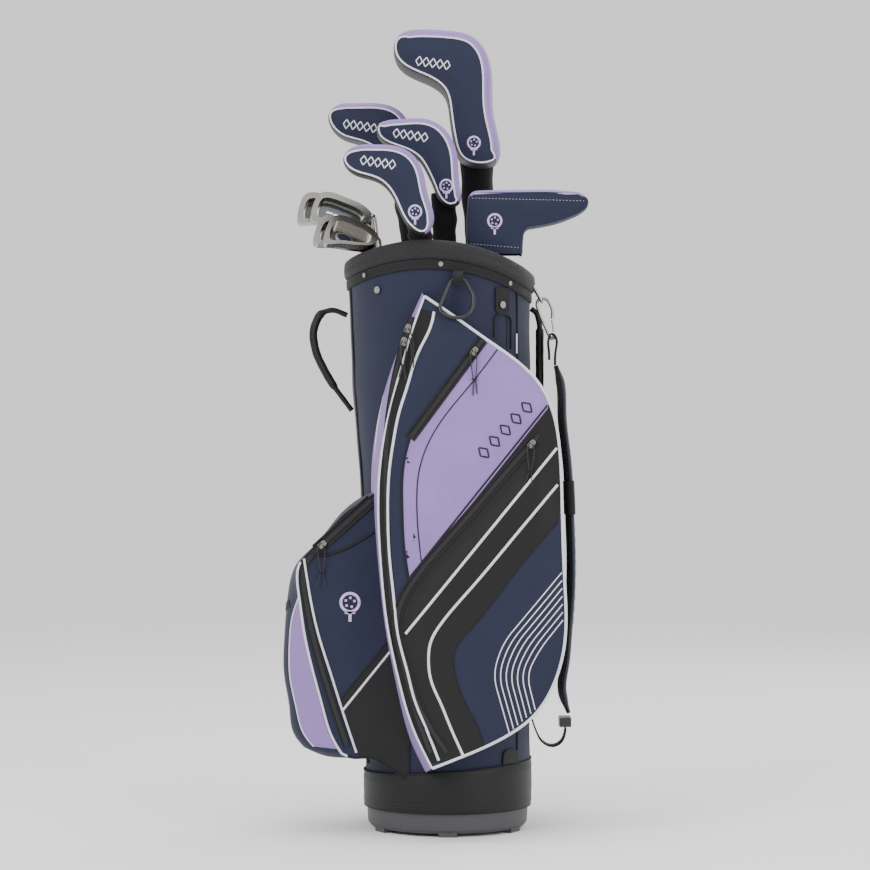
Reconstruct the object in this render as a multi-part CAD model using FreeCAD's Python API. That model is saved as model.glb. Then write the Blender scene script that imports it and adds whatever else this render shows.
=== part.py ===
"""Golf club set: a cart bag holding nine clubs, five of them under headcovers.

Frame: origin on the ground at the middle of the base, +Z up, the bag's spine and
strap towards +X, its ball pocket towards -X, the near side pocket towards -Y.
All lengths are millimetres. Every sub-part is written to parts/NODE.step.
"""
import FreeCAD, Part
import math
import os

Vector = FreeCAD.Vector

# ---- driving dimensions ------------------------------------------------------------
BASE_R = 115.0            # moulded base cup
BASE_FLOOR = 9.0          # top of the cup's floor, where the grips stand
BASE_WALL = 3.0
BASE_TOP = 38.0           # the tube starts here
FOOT_LIFT = 5.0           # the cup's rim hangs this far above the ground
FOOT_COUNT = 6
FOOT_RADII = (96.0, 112.0)
FOOT_HALF = 13.0
BOSS_R = 28.0             # the centre boss stands on the ground with the feet
SPIGOT_TALL = 32.0        # the cup's collar inside the tube
SPIGOT_PLAY = 2.2

STAY_R = 4.0              # two stays between the cup's floor and the divider
STAY_AT = ((28.0, -104.5), (28.0, 104.5))
STAY_LEAN = 3.24          # how far each stay's top stands outside its foot
STAY_SHORT = 0.5

SKIRT_R = 121.0           # webbing skirt around the bottom of the tube
SKIRT_BOTTOM = 33.0
SKIRT_TOP_MID = 92.0
SKIRT_TOP_RISE = 0.07     # the skirt's top edge climbs towards the spine

TUBE_WALL = 3.0
TUBE_RIGHT = 120.0        # the spine is straight and upright
TUBE_SECTIONS = [         # (height, left edge, half depth)
    (BASE_TOP, -118.0, 118.0),
    (480.0, -126.0, 118.5),
    (640.0, -138.0, 119.5),
    (860.0, -147.5, 120.5),
]

RIM_APEX_X = -30.0        # the cuff is an arc in the X-Z plane, highest here
RIM_APEX_Z = 842.5
RIM_ARC_R = 285.0
CUFF_MID_X = -11.5
CUFF_HALF_X = 138.5
CUFF_HALF_Y = 126.0
CUFF_DEPTH = 13.0         # radial thickness of the padded cuff
CUFF_TALL = 27.5
BAND_TALL = 13.0          # webbing band under the cuff
BAND_PROUD = 2.0

DIVIDER_Z = 768.0
DIVIDER_TALL = 16.0
DIVIDER_MID_X = -13.0
DIVIDER_HALF_X = 126.6
DIVIDER_HALF_Y = 113.5
DIVIDER_RIM = 4.0
DIVIDER_WEB = 3.0

NEAR = -1.0               # side signs: near pockets face -Y, far pockets +Y
FAR = 1.0

# ---- small helpers -----------------------------------------------------------------


def spline(points):
    """Open B-spline edge through 3-D points."""
    curve = Part.BSplineCurve()
    curve.interpolate([Vector(*p) for p in points])
    return curve.toShape()


def closed_spline(points):
    """Closed smooth wire through 3-D points."""
    curve = Part.BSplineCurve()
    curve.interpolate([Vector(*p) for p in points], PeriodicFlag=True)
    return Part.Wire([curve.toShape()])


def straight(start, end):
    return Part.LineSegment(Vector(*start), Vector(*end)).toShape()


def polygon(points):
    corners = [Vector(*p) for p in points]
    return Part.Face(Part.makePolygon(corners + corners[:1]))


def box(x0, x1, y0, y1, z0, z1):
    return Part.makeBox(x1 - x0, y1 - y0, z1 - z0, Vector(x0, y0, z0))


def cylinder(start, direction, radius, length):
    return Part.makeCylinder(radius, length, Vector(*start), Vector(*direction))


def ellipse_wire(mid_x, half_x, half_y, z):
    """Ellipse in a level plane, whichever half axis is longer."""
    long_x = half_x >= half_y
    major, minor = (half_x, half_y) if long_x else (half_y, half_x)
    curve = Part.Ellipse(Vector(0, 0, 0), major, minor)
    wire = Part.Wire([curve.toShape()])
    if not long_x:
        wire.rotate(Vector(0, 0, 0), Vector(0, 0, 1), 90)
    wire.translate(Vector(mid_x, 0, z))
    return wire


def sampled(points, steps=10):
    """Points along the smooth curve through a list of (a, b) points."""
    curve = Part.BSplineCurve()
    curve.interpolate([Vector(a, b, 0) for a, b in points])
    count = steps * (len(points) - 1)
    return [(p.x, p.y) for p in curve.discretize(Number=count + 1)]


def widened(points, half_width):
    """Outline of a band of constant width about an open line of (a, b) points."""
    left, right = [], []
    for i, (a, b) in enumerate(points):
        before = points[max(i - 1, 0)]
        after = points[min(i + 1, len(points) - 1)]
        run = math.hypot(after[0] - before[0], after[1] - before[1])
        across = (-(after[1] - before[1]) / run, (after[0] - before[0]) / run)
        left.append((a + across[0] * half_width, b + across[1] * half_width))
        right.append((a - across[0] * half_width, b - across[1] * half_width))
    return left + right[::-1]


def tube_along(points, radius):
    """Round tube along straight runs joined by tangent arcs; returns (solid, arc radii, length)."""
    route = [Vector(*p) for p in points]
    edges, radii = [], []
    start = route[0]
    for i in range(1, len(route) - 1):
        back = (route[i - 1] - route[i])
        ahead = (route[i + 1] - route[i])
        half_turn = (math.pi - back.getAngle(ahead)) / 2
        arc_r = 0.45 * min(back.Length, ahead.Length) / math.tan(half_turn)
        cut = arc_r * math.tan(half_turn)
        back.normalize()
        ahead.normalize()
        enter = route[i] + back * cut
        leave = route[i] + ahead * cut
        inward = (back + ahead).normalize()
        middle = route[i] + inward * (arc_r / math.cos(half_turn) - arc_r)
        edges.append(Part.LineSegment(start, enter).toShape())
        edges.append(Part.Arc(enter, middle, leave).toShape())
        radii.append(arc_r)
        start = leave
    edges.append(Part.LineSegment(start, route[-1]).toShape())
    path = Part.Wire(edges)
    first = (route[1] - route[0]).normalize()
    profile = Part.Wire([Part.Circle(route[0], first, radius).toShape()])
    return path.makePipeShell([profile], True, False), radii, path.Length


def export(node, *shapes):
    """Write one sub-part; several separate solids may share a node."""
    solids = [solid for shape in shapes for solid in shape.Solids]
    whole = solids[0] if len(solids) == 1 else Part.makeCompound(solids)
    whole.exportStep("parts/%s.step" % node)
    sound = all(s.isValid() and s.Volume > 0 for s in solids)
    print("%-26s solids %2d  volume %9.0f  sound %s" % (node, len(solids), whole.Volume, sound))


# ---- bag body ----------------------------------------------------------------------


def tube_solid(grow):
    """The bag's tube as a solid, its surface moved outwards by grow."""
    wires = []
    for z, left, half_y in TUBE_SECTIONS:
        mid = (TUBE_RIGHT + left) / 2
        half_x = (TUBE_RIGHT - left) / 2
        wires.append(ellipse_wire(mid, half_x + 0.01 + grow, half_y + grow, z))
    return Part.makeLoft(wires, True, False)


def rim_height(x, drop=0.0):
    reach = RIM_ARC_R ** 2 - (x - RIM_APEX_X) ** 2
    return RIM_APEX_Z - drop - RIM_ARC_R + math.sqrt(reach)


def under_rim(drop):
    """Everything below the rim's arc, lowered by drop."""
    half = 200.0
    ends = [RIM_APEX_X - half, RIM_APEX_X, RIM_APEX_X + half]
    arc_points = [Vector(x, -200, rim_height(x, drop)) for x in ends]
    arc = Part.Arc(*arc_points).toShape()
    low_left = Vector(ends[0], -200, 0)
    low_right = Vector(ends[2], -200, 0)
    sides = [Part.LineSegment(arc_points[2], low_right).toShape(),
             Part.LineSegment(low_right, low_left).toShape(),
             Part.LineSegment(low_left, arc_points[0]).toShape()]
    return Part.Face(Part.Wire([arc] + sides)).extrude(Vector(0, 400, 0))


def elliptical_ring(mid_x, half_x, half_y, wall, z0, z1):
    height = Vector(0, 0, z1 - z0)
    outer = Part.Face(ellipse_wire(mid_x, half_x, half_y, z0)).extrude(height)
    inner = Part.Face(ellipse_wire(mid_x, half_x - wall, half_y - wall, z0)).extrude(height)
    return outer.cut(inner)


def bag_tube(core):
    shell = core.cut(tube_solid(-TUBE_WALL))
    return shell.common(under_rim(CUFF_TALL))


def cuff_pad():
    ring = elliptical_ring(CUFF_MID_X, CUFF_HALF_X, CUFF_HALF_Y, CUFF_DEPTH, 720, 860)
    return ring.common(under_rim(0)).cut(under_rim(CUFF_TALL))


def on_tube(core, proud, drop_top, drop_bottom):
    """Cloth lying on the tube's surface between two rim arcs."""
    skin = tube_solid(proud).cut(core)
    return skin.common(under_rim(drop_top)).cut(under_rim(drop_bottom))


def tube_patch(core, proud, x0, x1, z0, z1, side):
    skin = tube_solid(proud).cut(core)
    y0, y1 = (-200, -20) if side < 0 else (20, 200)
    return skin.common(box(x0, x1, y0, y1, z0, z1))


def base_cup():
    """Moulded cup with a spigot inside the tube, a centre boss and six feet."""
    spigot_r = TUBE_SECTIONS[0][2] - TUBE_WALL - SPIGOT_PLAY
    spigot_top = BASE_TOP + SPIGOT_TALL
    outline = [(0, FOOT_LIFT), (BASE_R - 4, FOOT_LIFT), (BASE_R, FOOT_LIFT + 5),
               (BASE_R + 1.5, BASE_TOP - 5), (BASE_R + 1.5, BASE_TOP), (spigot_r, BASE_TOP),
               (spigot_r, spigot_top), (spigot_r - BASE_WALL, spigot_top),
               (spigot_r - BASE_WALL, BASE_FLOOR), (0, BASE_FLOOR)]
    cup = polygon([(r, 0, z) for r, z in outline]).revolve(Vector(0, 0, 0), Vector(0, 0, 1), 360)
    cup = cup.fuse(Part.makeCylinder(BOSS_R, BASE_FLOOR - 1))
    for i in range(FOOT_COUNT):
        foot = box(*FOOT_RADII, -FOOT_HALF, FOOT_HALF, 0, FOOT_LIFT + 2)
        foot.rotate(Vector(0, 0, 0), Vector(0, 0, 1), 360.0 / FOOT_COUNT * (i + 0.5))
        cup = cup.fuse(foot)
    return cup.removeSplitter()


def base_skirt(core):
    ring = Part.makeCylinder(SKIRT_R, 100, Vector(0, 0, SKIRT_BOTTOM))
    ring = ring.cut(core).cut(Part.makeCylinder(BASE_R + 1.6, 60, Vector(0, 0, -10)))
    x_far = 200
    top_left = SKIRT_TOP_MID - SKIRT_TOP_RISE * x_far
    top_right = SKIRT_TOP_MID + SKIRT_TOP_RISE * x_far
    below = polygon([(-x_far, -x_far, 0), (x_far, -x_far, 0), (x_far, -x_far, top_right),
                     (-x_far, -x_far, top_left)]).extrude(Vector(0, 2 * x_far, 0))
    return ring.common(below)


# The divider's cells: (x0, x1, y0, y1) between the middles of the webs.
DIVIDER_CELLS = [
    (-200, -75, -76, -44.5), (-200, -75, -44.5, -13.5),
    (-200, -75, -13.5, 17.5), (-200, -75, 17.5, 49),
    (-75, 8, -200, -66), (8, 200, -200, -66),
    (-75, -38, -66, -10), (-38, 34, -66, -10), (34, 200, -66, -10),
    (-75, 200, -10, 32),
    (-75, 10, 32, 72), (10, 200, 32, 72),
    (-200, 0, 72, 200), (0, 200, 72, 200),
]


def club_divider():
    """Moulded top plate with one opening for each club."""
    height = Vector(0, 0, DIVIDER_TALL)
    plate = Part.Face(ellipse_wire(DIVIDER_MID_X, DIVIDER_HALF_X, DIVIDER_HALF_Y, DIVIDER_Z))
    inside = Part.Face(ellipse_wire(DIVIDER_MID_X, DIVIDER_HALF_X - DIVIDER_RIM,
                                    DIVIDER_HALF_Y - DIVIDER_RIM, DIVIDER_Z)).extrude(height)
    plate = plate.extrude(height)
    web = DIVIDER_WEB / 2
    for x0, x1, y0, y1 in DIVIDER_CELLS:
        cell = box(x0 + web, x1 - web, y0 + web, y1 - web, DIVIDER_Z - 1, DIVIDER_Z + 40)
        plate = plate.cut(cell.common(inside))
    return plate


def support_rods():
    """Two stays inside the tube that hold the divider above the base."""
    rods = []
    rise = DIVIDER_Z - BASE_FLOOR
    for x, y in STAY_AT:
        lean = math.copysign(STAY_LEAN, y)
        length = math.hypot(rise, lean) - STAY_SHORT
        rods.append(cylinder((x, y - lean, BASE_FLOOR + 0.1), (0, lean, rise), STAY_R, length))
    return rods


def stud(x, z, radius, height, grow):
    """Rivet or snap head standing on the tube's near surface."""
    left = TUBE_SECTIONS[-1][1] + 2
    half_x = (TUBE_RIGHT - left) / 2 + grow
    half_y = 120.2 + grow
    angle = math.acos((x - (TUBE_RIGHT + left) / 2) / half_x)
    foot = (x, -half_y * math.sin(angle), z)
    outward = (math.cos(angle) / half_x, -math.sin(angle) / half_y, 0)
    return cylinder(foot, outward, radius, height)


# ---- side pockets ------------------------------------------------------------------

POCKET_BACK_Y = 20.0
POCKET_WALL = 3.5
PANEL_MID_Y = 150.0       # the panel's distance from the centre plane at PANEL_MID_Z
PANEL_MID_Z = 500.0
PANEL_SLANT = 0.06        # it stands further out towards the ground
POCKET_RIGHT = [          # the outer edge of the panel, top corner to bottom corner
    (-33, 762), (4, 737), (53, 702), (96, 671), (129, 637), (147, 598), (156, 545),
    (159, 470), (162, 370), (161, 270), (148, 224), (121, 180), (80, 149), (24, 123), (-22, 105),
]
POCKET_LEFT = [           # the edge beside the tall zip, bottom corner to top corner
    (-22, 105), (-50, 164), (-68, 225), (-84, 300), (-93, 380), (-97, 450), (-96, 510),
    (-90, 560), (-80, 610), (-66, 660), (-50, 714), (-33, 762),
]
GUSSET_LEFT = [           # where that edge's gusset would meet the plane at POCKET_BACK_Y
    (-44, 76), (-62, 120), (-76, 190), (-92, 290), (-102, 380), (-110, 450), (-113, 510),
    (-112, 560), (-108, 610), (-101, 660), (-86, 725), (-50, 800),
]


def panel_y(z):
    """Distance of the slanted front panel from the bag's centre plane."""
    return PANEL_MID_Y + (PANEL_MID_Z - z) * PANEL_SLANT


def panel_point(side, x, z, lift=0.0):
    return (x, side * (panel_y(z) + lift), z)


def toward_middle(points, inset, middle=(35.0, 430.0), half=(130.0, 330.0)):
    """Shrink an outline about its middle so that its edges move in by about inset."""
    scale_x = (half[0] - inset) / half[0]
    scale_z = (half[1] - inset) / half[1]
    return [(middle[0] + (x - middle[0]) * scale_x, middle[1] + (z - middle[1]) * scale_z)
            for x, z in points]


def pocket_block(side, inset):
    """The side pocket's outer form, or its hollow when inset is more than nothing."""
    right = toward_middle(POCKET_RIGHT, inset)
    left = toward_middle(POCKET_LEFT, inset)
    gusset = toward_middle(GUSSET_LEFT, inset)
    back_right = [gusset[-1]] + right[1:-1] + [gusset[0]]
    front = Part.Wire([spline([panel_point(side, x, z, -inset) for x, z in right]),
                       spline([panel_point(side, x, z, -inset) for x, z in left])])
    back_y = side * (POCKET_BACK_Y + inset)
    back = Part.Wire([spline([(x, back_y, z) for x, z in back_right]),
                      spline([(x, back_y, z) for x, z in gusset])])
    return Part.makeLoft([back, front], True, True)


def on_panel(side, points, half_width, height, lift=0.0):
    """Flat band on the side pocket's panel along a smooth line."""
    outline = widened(sampled(points), half_width)
    face = polygon([panel_point(side, x, z, lift) for x, z in outline])
    return face.extrude(Vector(0, side * height, 0))


# ---- ball pocket -------------------------------------------------------------------

BALL_HALF_Y = 105.0
BALL_FULL_Y = 62.0
BALL_WALL = 3.5
BALL_FULL = [             # outer edge at the middle, top to bottom
    (-100, 490), (-146, 462), (-190, 410), (-214, 386), (-228, 340), (-233, 280), (-233, 222),
    (-226, 180), (-219, 140), (-205, 122),
]
BALL_SIDE = [             # outer edge at the two side faces
    (-100, 486), (-146, 455), (-188, 410), (-209, 386), (-210, 340), (-203, 290), (-190, 232),
    (-176, 180), (-163, 140), (-150, 118),
]
BALL_FULL_UNDER = [(-205, 122), (-168, 109), (-130, 110), (-90, 100), (-54, 78)]
BALL_SIDE_UNDER = [(-150, 118), (-135, 112), (-115, 112), (-85, 100), (-54, 78)]


def ball_block(inset):
    """The ball pocket's outer form, or its hollow when inset is more than nothing."""
    wires = []
    for y in (-BALL_HALF_Y, -BALL_FULL_Y, BALL_FULL_Y, BALL_HALF_Y):
        full = abs(y) < BALL_HALF_Y
        outer = BALL_FULL if full else BALL_SIDE
        under = BALL_FULL_UNDER if full else BALL_SIDE_UNDER
        middle, half = (-130.0, 300.0), (95.0, 190.0)
        outer = toward_middle(outer, inset, middle, half)
        under = toward_middle(under, inset, middle, half)
        level = math.copysign(abs(y) - inset, y)
        at = [(x, level, z) for x, z in outer]
        below = [(x, level, z) for x, z in under]
        corner = (below[-1][0], level, at[0][2])
        wires.append(Part.Wire([spline(at), spline(below),
                                straight(below[-1], corner), straight(corner, at[0])]))
    return Part.makeLoft(wires, True, True)


def ball_zip(side, points, half_width, height):
    outline = widened(sampled(points), half_width)
    face = polygon([(x, side * BALL_HALF_Y, z) for x, z in outline])
    return face.extrude(Vector(0, side * height, 0))


# ---- zips --------------------------------------------------------------------------

ZIP_HALF = 3.2
ZIP_PROUD = 1.4
TALL_ZIP_R = 643.0        # the tall zip's upper stretch is an arc of this radius
TALL_ZIP_MID = (555.9, 520.0)
TALL_ZIP_TOP_DEG = 160.6
TALL_ZIP_LOW_DEG = 181.0
TALL_ZIP_REST = [         # below the arc the zip follows the panel's edge
    (-85.5, 440), (-82, 380), (-74, 305), (-58, 228), (-40, 168), (-24, 126),
]
VALUABLES_ZIP = [(49, 701), (-53, 563)]
PANEL_ZIP_STRAIGHT = [(128, 568), (-50, 361)]
PANEL_ZIP_BEND = [(-50, 361), (-64, 336), (-71, 310), (-67, 275), (-58, 247), (-2, 127)]
BALL_ZIP_SLOPE = [(-108, 476), (-186, 405)]
BALL_ZIP_DOWN = [(-186, 405), (-201, 385), (-202, 345), (-190, 282), (-170, 212), (-142, 128)]


def tall_zip_point(degrees):
    angle = math.radians(degrees)
    return (TALL_ZIP_MID[0] + TALL_ZIP_R * math.cos(angle),
            TALL_ZIP_MID[1] + TALL_ZIP_R * math.sin(angle))


def tall_zip_line():
    steps = 5
    span = TALL_ZIP_LOW_DEG - TALL_ZIP_TOP_DEG
    arc = [tall_zip_point(TALL_ZIP_TOP_DEG + span * i / steps) for i in range(steps + 1)]
    return arc + TALL_ZIP_REST


TALL_ZIP_SLIDERS = (      # node, side, place along the arc in degrees
    ("near_zip_upper", NEAR, 162.2), ("near_zip_lower", NEAR, 163.9), ("far_zip", FAR, 162.2))
VALUABLES_SLIDER_AT = (37.0, 684.8)
PANEL_SLIDER_AT = (117.0, 555.2)
BALL_SLIDER_AT = (-177.0, 413.2)
SLIDER_PLAY = 0.25        # gap between a slider and its coil
SLIDER_LENGTH = 12.0
SLIDER_HALF = 4.0
SLIDER_TALL = 3.2
CROWN_HALF = 0.9
CROWN_LENGTH = 9.6
EYE_LENGTH = 6.6
EYE_TALL = 2.6
CROWN_TALL = 4.4


def slider_on(origin, along, outward):
    """Zip slider with an arched crown, its length along one line and its back outwards."""
    side, end = SLIDER_HALF, SLIDER_LENGTH / 2
    body = box(-side, side, -end, end, 0, SLIDER_TALL)
    nose = [(-side - 1, -end - 1, -1), (-side + 2.2, -end - 1, -1), (-side - 1, -end + 4, -1)]
    corner = polygon(nose).extrude(Vector(0, 0, SLIDER_TALL + 2))
    body = body.cut(corner).cut(corner.mirror(Vector(0, 0, 0), Vector(1, 0, 0)))
    crown = box(-CROWN_HALF, CROWN_HALF, -CROWN_LENGTH / 2, CROWN_LENGTH / 2, SLIDER_TALL,
                SLIDER_TALL + CROWN_TALL)
    eye = box(-3, 3, -EYE_LENGTH / 2, EYE_LENGTH / 2, SLIDER_TALL, SLIDER_TALL + EYE_TALL)
    slider = body.fuse(crown).cut(eye)
    z_axis = Vector(*outward).normalize()
    y_axis = Vector(*along)
    y_axis = (y_axis - z_axis * y_axis.dot(z_axis)).normalize()
    x_axis = y_axis.cross(z_axis)
    slider.transformShape(FreeCAD.Matrix(
        x_axis.x, y_axis.x, z_axis.x, origin[0],
        x_axis.y, y_axis.y, z_axis.y, origin[1],
        x_axis.z, y_axis.z, z_axis.z, origin[2], 0, 0, 0, 1))
    return slider


CORD_R = 0.8
CORD_ROUTES = {           # offsets (x, z) from the eye of each pull, tip to tip
    "near_zip_upper_cord": [
        (3.5, -59), (5, -47), (5.6, -37), (5.2, -28), (4.2, -19.5), (2.2, -12.8), (-0.6, -8.6),
        (-2.9, -6.4), (-3.9, -3.4), (-2.48, 0.8), (2.48, -0.8), (3.9, -5), (6, -11),
        (7.6, -18.5), (8.2, -27.5), (7.9, -37), (8.6, -46), (8, -55)],
    "near_zip_lower_cord": [
        (-7, -50), (-4.6, -41.5), (-2.2, -34), (-3.2, -25.5), (-4.4, -16.5), (-4.8, -9.2),
        (-4.1, -3.6), (-2.5, 0.72), (2.5, -0.72), (3.6, -5), (3.6, -11), (2.6, -18.5),
        (1.2, -26), (0.1, -34), (1.6, -43), (2.5, -53)],
    "near_valuables_cord": [
        (-2, -62), (-2.2, -51), (-1.3, -40), (-3, -31), (-4.2, -22), (-5, -14), (-5.4, -7.5),
        (-4.6, -2), (-2.09, 1.54), (2.09, -1.54), (3, -6.8), (3.5, -13.5), (3.4, -22),
        (2.4, -31), (1, -40), (3.2, -50), (3.5, -60)],
    "near_panel_cord": [
        (-10, -56), (-6.4, -47), (-3.6, -39), (-4.6, -30), (-5.8, -21), (-6.4, -13), (-6.2, -7),
        (-4.8, -1.7), (-1.97, 1.7), (1.97, -1.7), (3, -6.8), (3.4, -13.5), (2.4, -22),
        (0.4, -30.5), (-1.3, -39), (-0.4, -49), (1.5, -60)],
    "ball_zip_cord": [
        (-8, -60), (-5, -49.5), (-2.1, -40), (-3.4, -30.5), (-5, -21), (-6.2, -13), (-6.4, -6.5),
        (-4.6, -0.6), (-1.75, 1.92), (1.75, -1.92), (3, -7), (3.6, -14), (3.2, -22.5),
        (1.9, -31), (0.2, -40), (2.6, -49.5), (4, -59)],
    "far_zip_cord": [
        (-8, -55), (-4.8, -46), (-2, -37), (-3.2, -28), (-4.4, -18.5), (-4.9, -10), (-4.1, -3.8),
        (-2.48, 0.8), (2.48, -0.8), (3.9, -5), (4.3, -11.5), (3.4, -20), (1.8, -28.5),
        (0.3, -37), (2.6, -46), (5.5, -54)],
}


def pull_cord(node, origin, side, slant):
    """Doubled cord through a slider's eye, hanging along a panel that leans by slant."""
    lift = SLIDER_TALL + EYE_TALL / 2
    route = []
    for x, z in CORD_ROUTES[node]:
        route.append((origin[0] + x, origin[1] + side * (lift - slant * z), origin[2] + z))
    cord, radii, length = tube_along(route, CORD_R)
    print(node, "length %.1f" % length, "radii", ["%.1f" % r for r in radii])
    return cord


# ---- handles, strap and hardware ---------------------------------------------------

FRONT_HANDLE = [(-145.5, 0, 741), (-166, 0, 750), (-185, 0, 744), (-196, 0, 718), (-191, 0, 686),
                (-170, 0, 645), (-138.5, 0, 603)]
REAR_HANDLE = [(121, 8, 751), (129, 8, 746), (134, 8, 729), (134, 8, 625), (129, 8, 608),
               (121, 8, 603)]
HANDLE_R = 6.0

RING_R = 2.6
RING_AXIS = (-127.5, 785.0)       # (y, z) of the towel ring's hinge line
RING_LEAN = 0.30                  # the ring lies out over the pocket's corner
RING_CORNERS = [(4, 785), (25, 785), (36.5, 762), (35, 744), (23, 731.5), (4, 731.5), (-14, 741)]

STRAP_HALF = 14.0                 # webbing half width
STRAP_THICK = 2.6
PAD_HALF = 32.0
PAD_LINE = [(157, 668), (164, 640), (166, 600), (172, 540), (178, 430), (178, 330), (174, 280),
            (170, 235), (166, 200), (175, 166)]
PAD_THICK = 13.0
TOP_FOLD = [(155.5, 668.5), (156.5, 690), (155, 711), (150.5, 714), (146.5, 708), (146.5, 690),
            (147, 676)]
LOWER_LOOP = [(171, 143), (165, 124), (153, 117.5), (138, 123), (128, 140), (121.8, 160),
              (121.4, 185)]
STRAP_THREAD_Y = -10.0
BUCKLE_OUTER = (161.5, 178.5, -19, 19, 146, 159.2)
BUCKLE_MOUTH = (165.5, 174.5, -15, 15, 140, 156)
LINK_ENDS = ((119.5, 790), (136.8, 759.3))    # (x, z) of the link's top and bottom bars
LINK_HALF = 9.0
LINK_R = 2.0
HOOK_WIRE_R = 2.3
GATE_R = 1.3
HOOK_ROUTE = [(151.2, 735.5), (152.2, 748), (145, 764), (133, 765.5), (128.5, 757), (135, 738),
              (149, 706.5), (154, 707.5), (153.6, 714)]
GATE_TOP = (151.1, 734.0)
GATE_LOW = (153.4, 716.4)


def band_xz(points, thick, y0, y1, steps=6):
    """Webbing or padding lying along a smooth line in the X-Z plane."""
    outline = widened(sampled(points, steps), thick / 2)
    return polygon([(x, y0, z) for x, z in outline]).extrude(Vector(0, y1 - y0, 0))


def closed_rod(corners, radius):
    """Round rod along a closed loop of straight sides with rounded corners."""
    middle = [(a + b) / 2 for a, b in zip(corners[0], corners[1])]
    loop = [middle] + [list(c) for c in corners[1:]] + [list(corners[0]), middle]
    solid, _, _ = tube_along(loop, radius)
    return solid


def towel_ring():
    y0, z0 = RING_AXIS
    return closed_rod([(x, y0 - (z0 - z) * RING_LEAN, z) for x, z in RING_CORNERS], RING_R)


def ring_keeper():
    """Webbing tab sewn under the band that holds the towel ring's top bar."""
    y0, z0 = RING_AXIS
    tab = box(7, 22, y0 - 5.5, -119.6, z0 - 6, z0 + 14)
    bar = cylinder((0, y0, z0), (1, 0, 0), RING_R + 0.35, 40)
    return tab.cut(bar).cut(tube_solid(0.0)).cut(on_tube(tube_solid(0.0), BAND_PROUD, CUFF_TALL,
                                                        CUFF_TALL + BAND_TALL))


# ---- clubs -------------------------------------------------------------------------

RIM_Z = 776.0             # the divider's middle, where each club's slot is
BUTT_Z = 13.0

# name: (kind, slot x, slot y, butt x, butt y, length along the shaft to the top of the head)
CLUBS = {
    "driver": ("wood", 48, 57.6, 66, 15, 1136),
    "fairway_wood": ("wood", -45, 88, 50, 42.5, 1041),
    "hybrid_four": ("wood", -3, -32, 12, -50, 1002),
    "hybrid_five": ("wood", -30, -88, 63.6, -60, 970),
    "putter": ("putter", 69, -45, 82, -16, 892),
    "iron_six": ("iron", -110.8, 33, 19.6, 33, 926),
    "iron_seven": ("iron", -96.5, 2, -3, 2, 914),
    "iron_nine": ("iron", -99.4, -29, -23.3, -29, 874),
    "wedge": ("iron", -94.4, -60, -18, -60, 875),
}
GRIP_BUTT_R = 13.0
GRIP_TIP_R = 8.8
GRIP_LENGTH = 262.0
SHAFT_BUTT_R = 7.2
SHAFT_TIP_R = 4.4


def club_direction(name):
    _, slot_x, slot_y, butt_x, butt_y, _ = CLUBS[name]
    return Vector(slot_x - butt_x, slot_y - butt_y, RIM_Z - BUTT_Z).normalize()


def place_club(shape, name):
    """Stand a club built upright on the origin in its slot."""
    _, _, _, butt_x, butt_y, _ = CLUBS[name]
    turn = FreeCAD.Rotation(Vector(0, 0, 1), club_direction(name))
    shape.Placement = FreeCAD.Placement(Vector(butt_x, butt_y, BUTT_Z), turn)
    return shape


def club_shaft(tip_height):
    """Shaft and slip-on grip, two solids; the grip's bore fits the shaft."""
    shaft = Part.makeCone(SHAFT_BUTT_R, SHAFT_TIP_R, tip_height - 4, Vector(0, 0, 4))
    grip = Part.makeCone(GRIP_BUTT_R, GRIP_TIP_R, GRIP_LENGTH - 3, Vector(0, 0, 3))
    cap = Part.makeCone(GRIP_BUTT_R - 2, GRIP_BUTT_R, 3)
    return shaft, grip.fuse(cap).cut(shaft).removeSplitter()


def frame_matrix(origin, x_axis, y_axis, z_axis):
    return FreeCAD.Matrix(
        x_axis.x, y_axis.x, z_axis.x, origin.x,
        x_axis.y, y_axis.y, z_axis.y, origin.y,
        x_axis.z, y_axis.z, z_axis.z, origin.z, 0, 0, 0, 1)


# Blade outline in its own plane: along the sole from the heel, and down from the sole.
IRON_OUTLINE = [(15, 6), (28, 0.5), (56, -1.5), (80, -0.5), (93, 7), (96, 22), (94, 40), (88, 51),
                (72, 46), (50, 38), (26, 30), (13, 22)]
IRON_SOLE_RISE = 28.0     # the sole climbs towards the toe when the shaft is upright
IRON_TOP_ABOVE_HEEL = 61.0
HOSEL_R = 6.3
WOOD_HOSEL_R = 5.8
FACE_LEAD = 4.5           # a wood's face stands this far ahead of the shaft's axis
FACE_FLAT = 0.86          # where the face and sole cut the egg-shaped body
SOLE_FLAT = 0.80
PUTTER_RISE = 9.0         # the putter's sole climbs towards the toe


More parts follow.
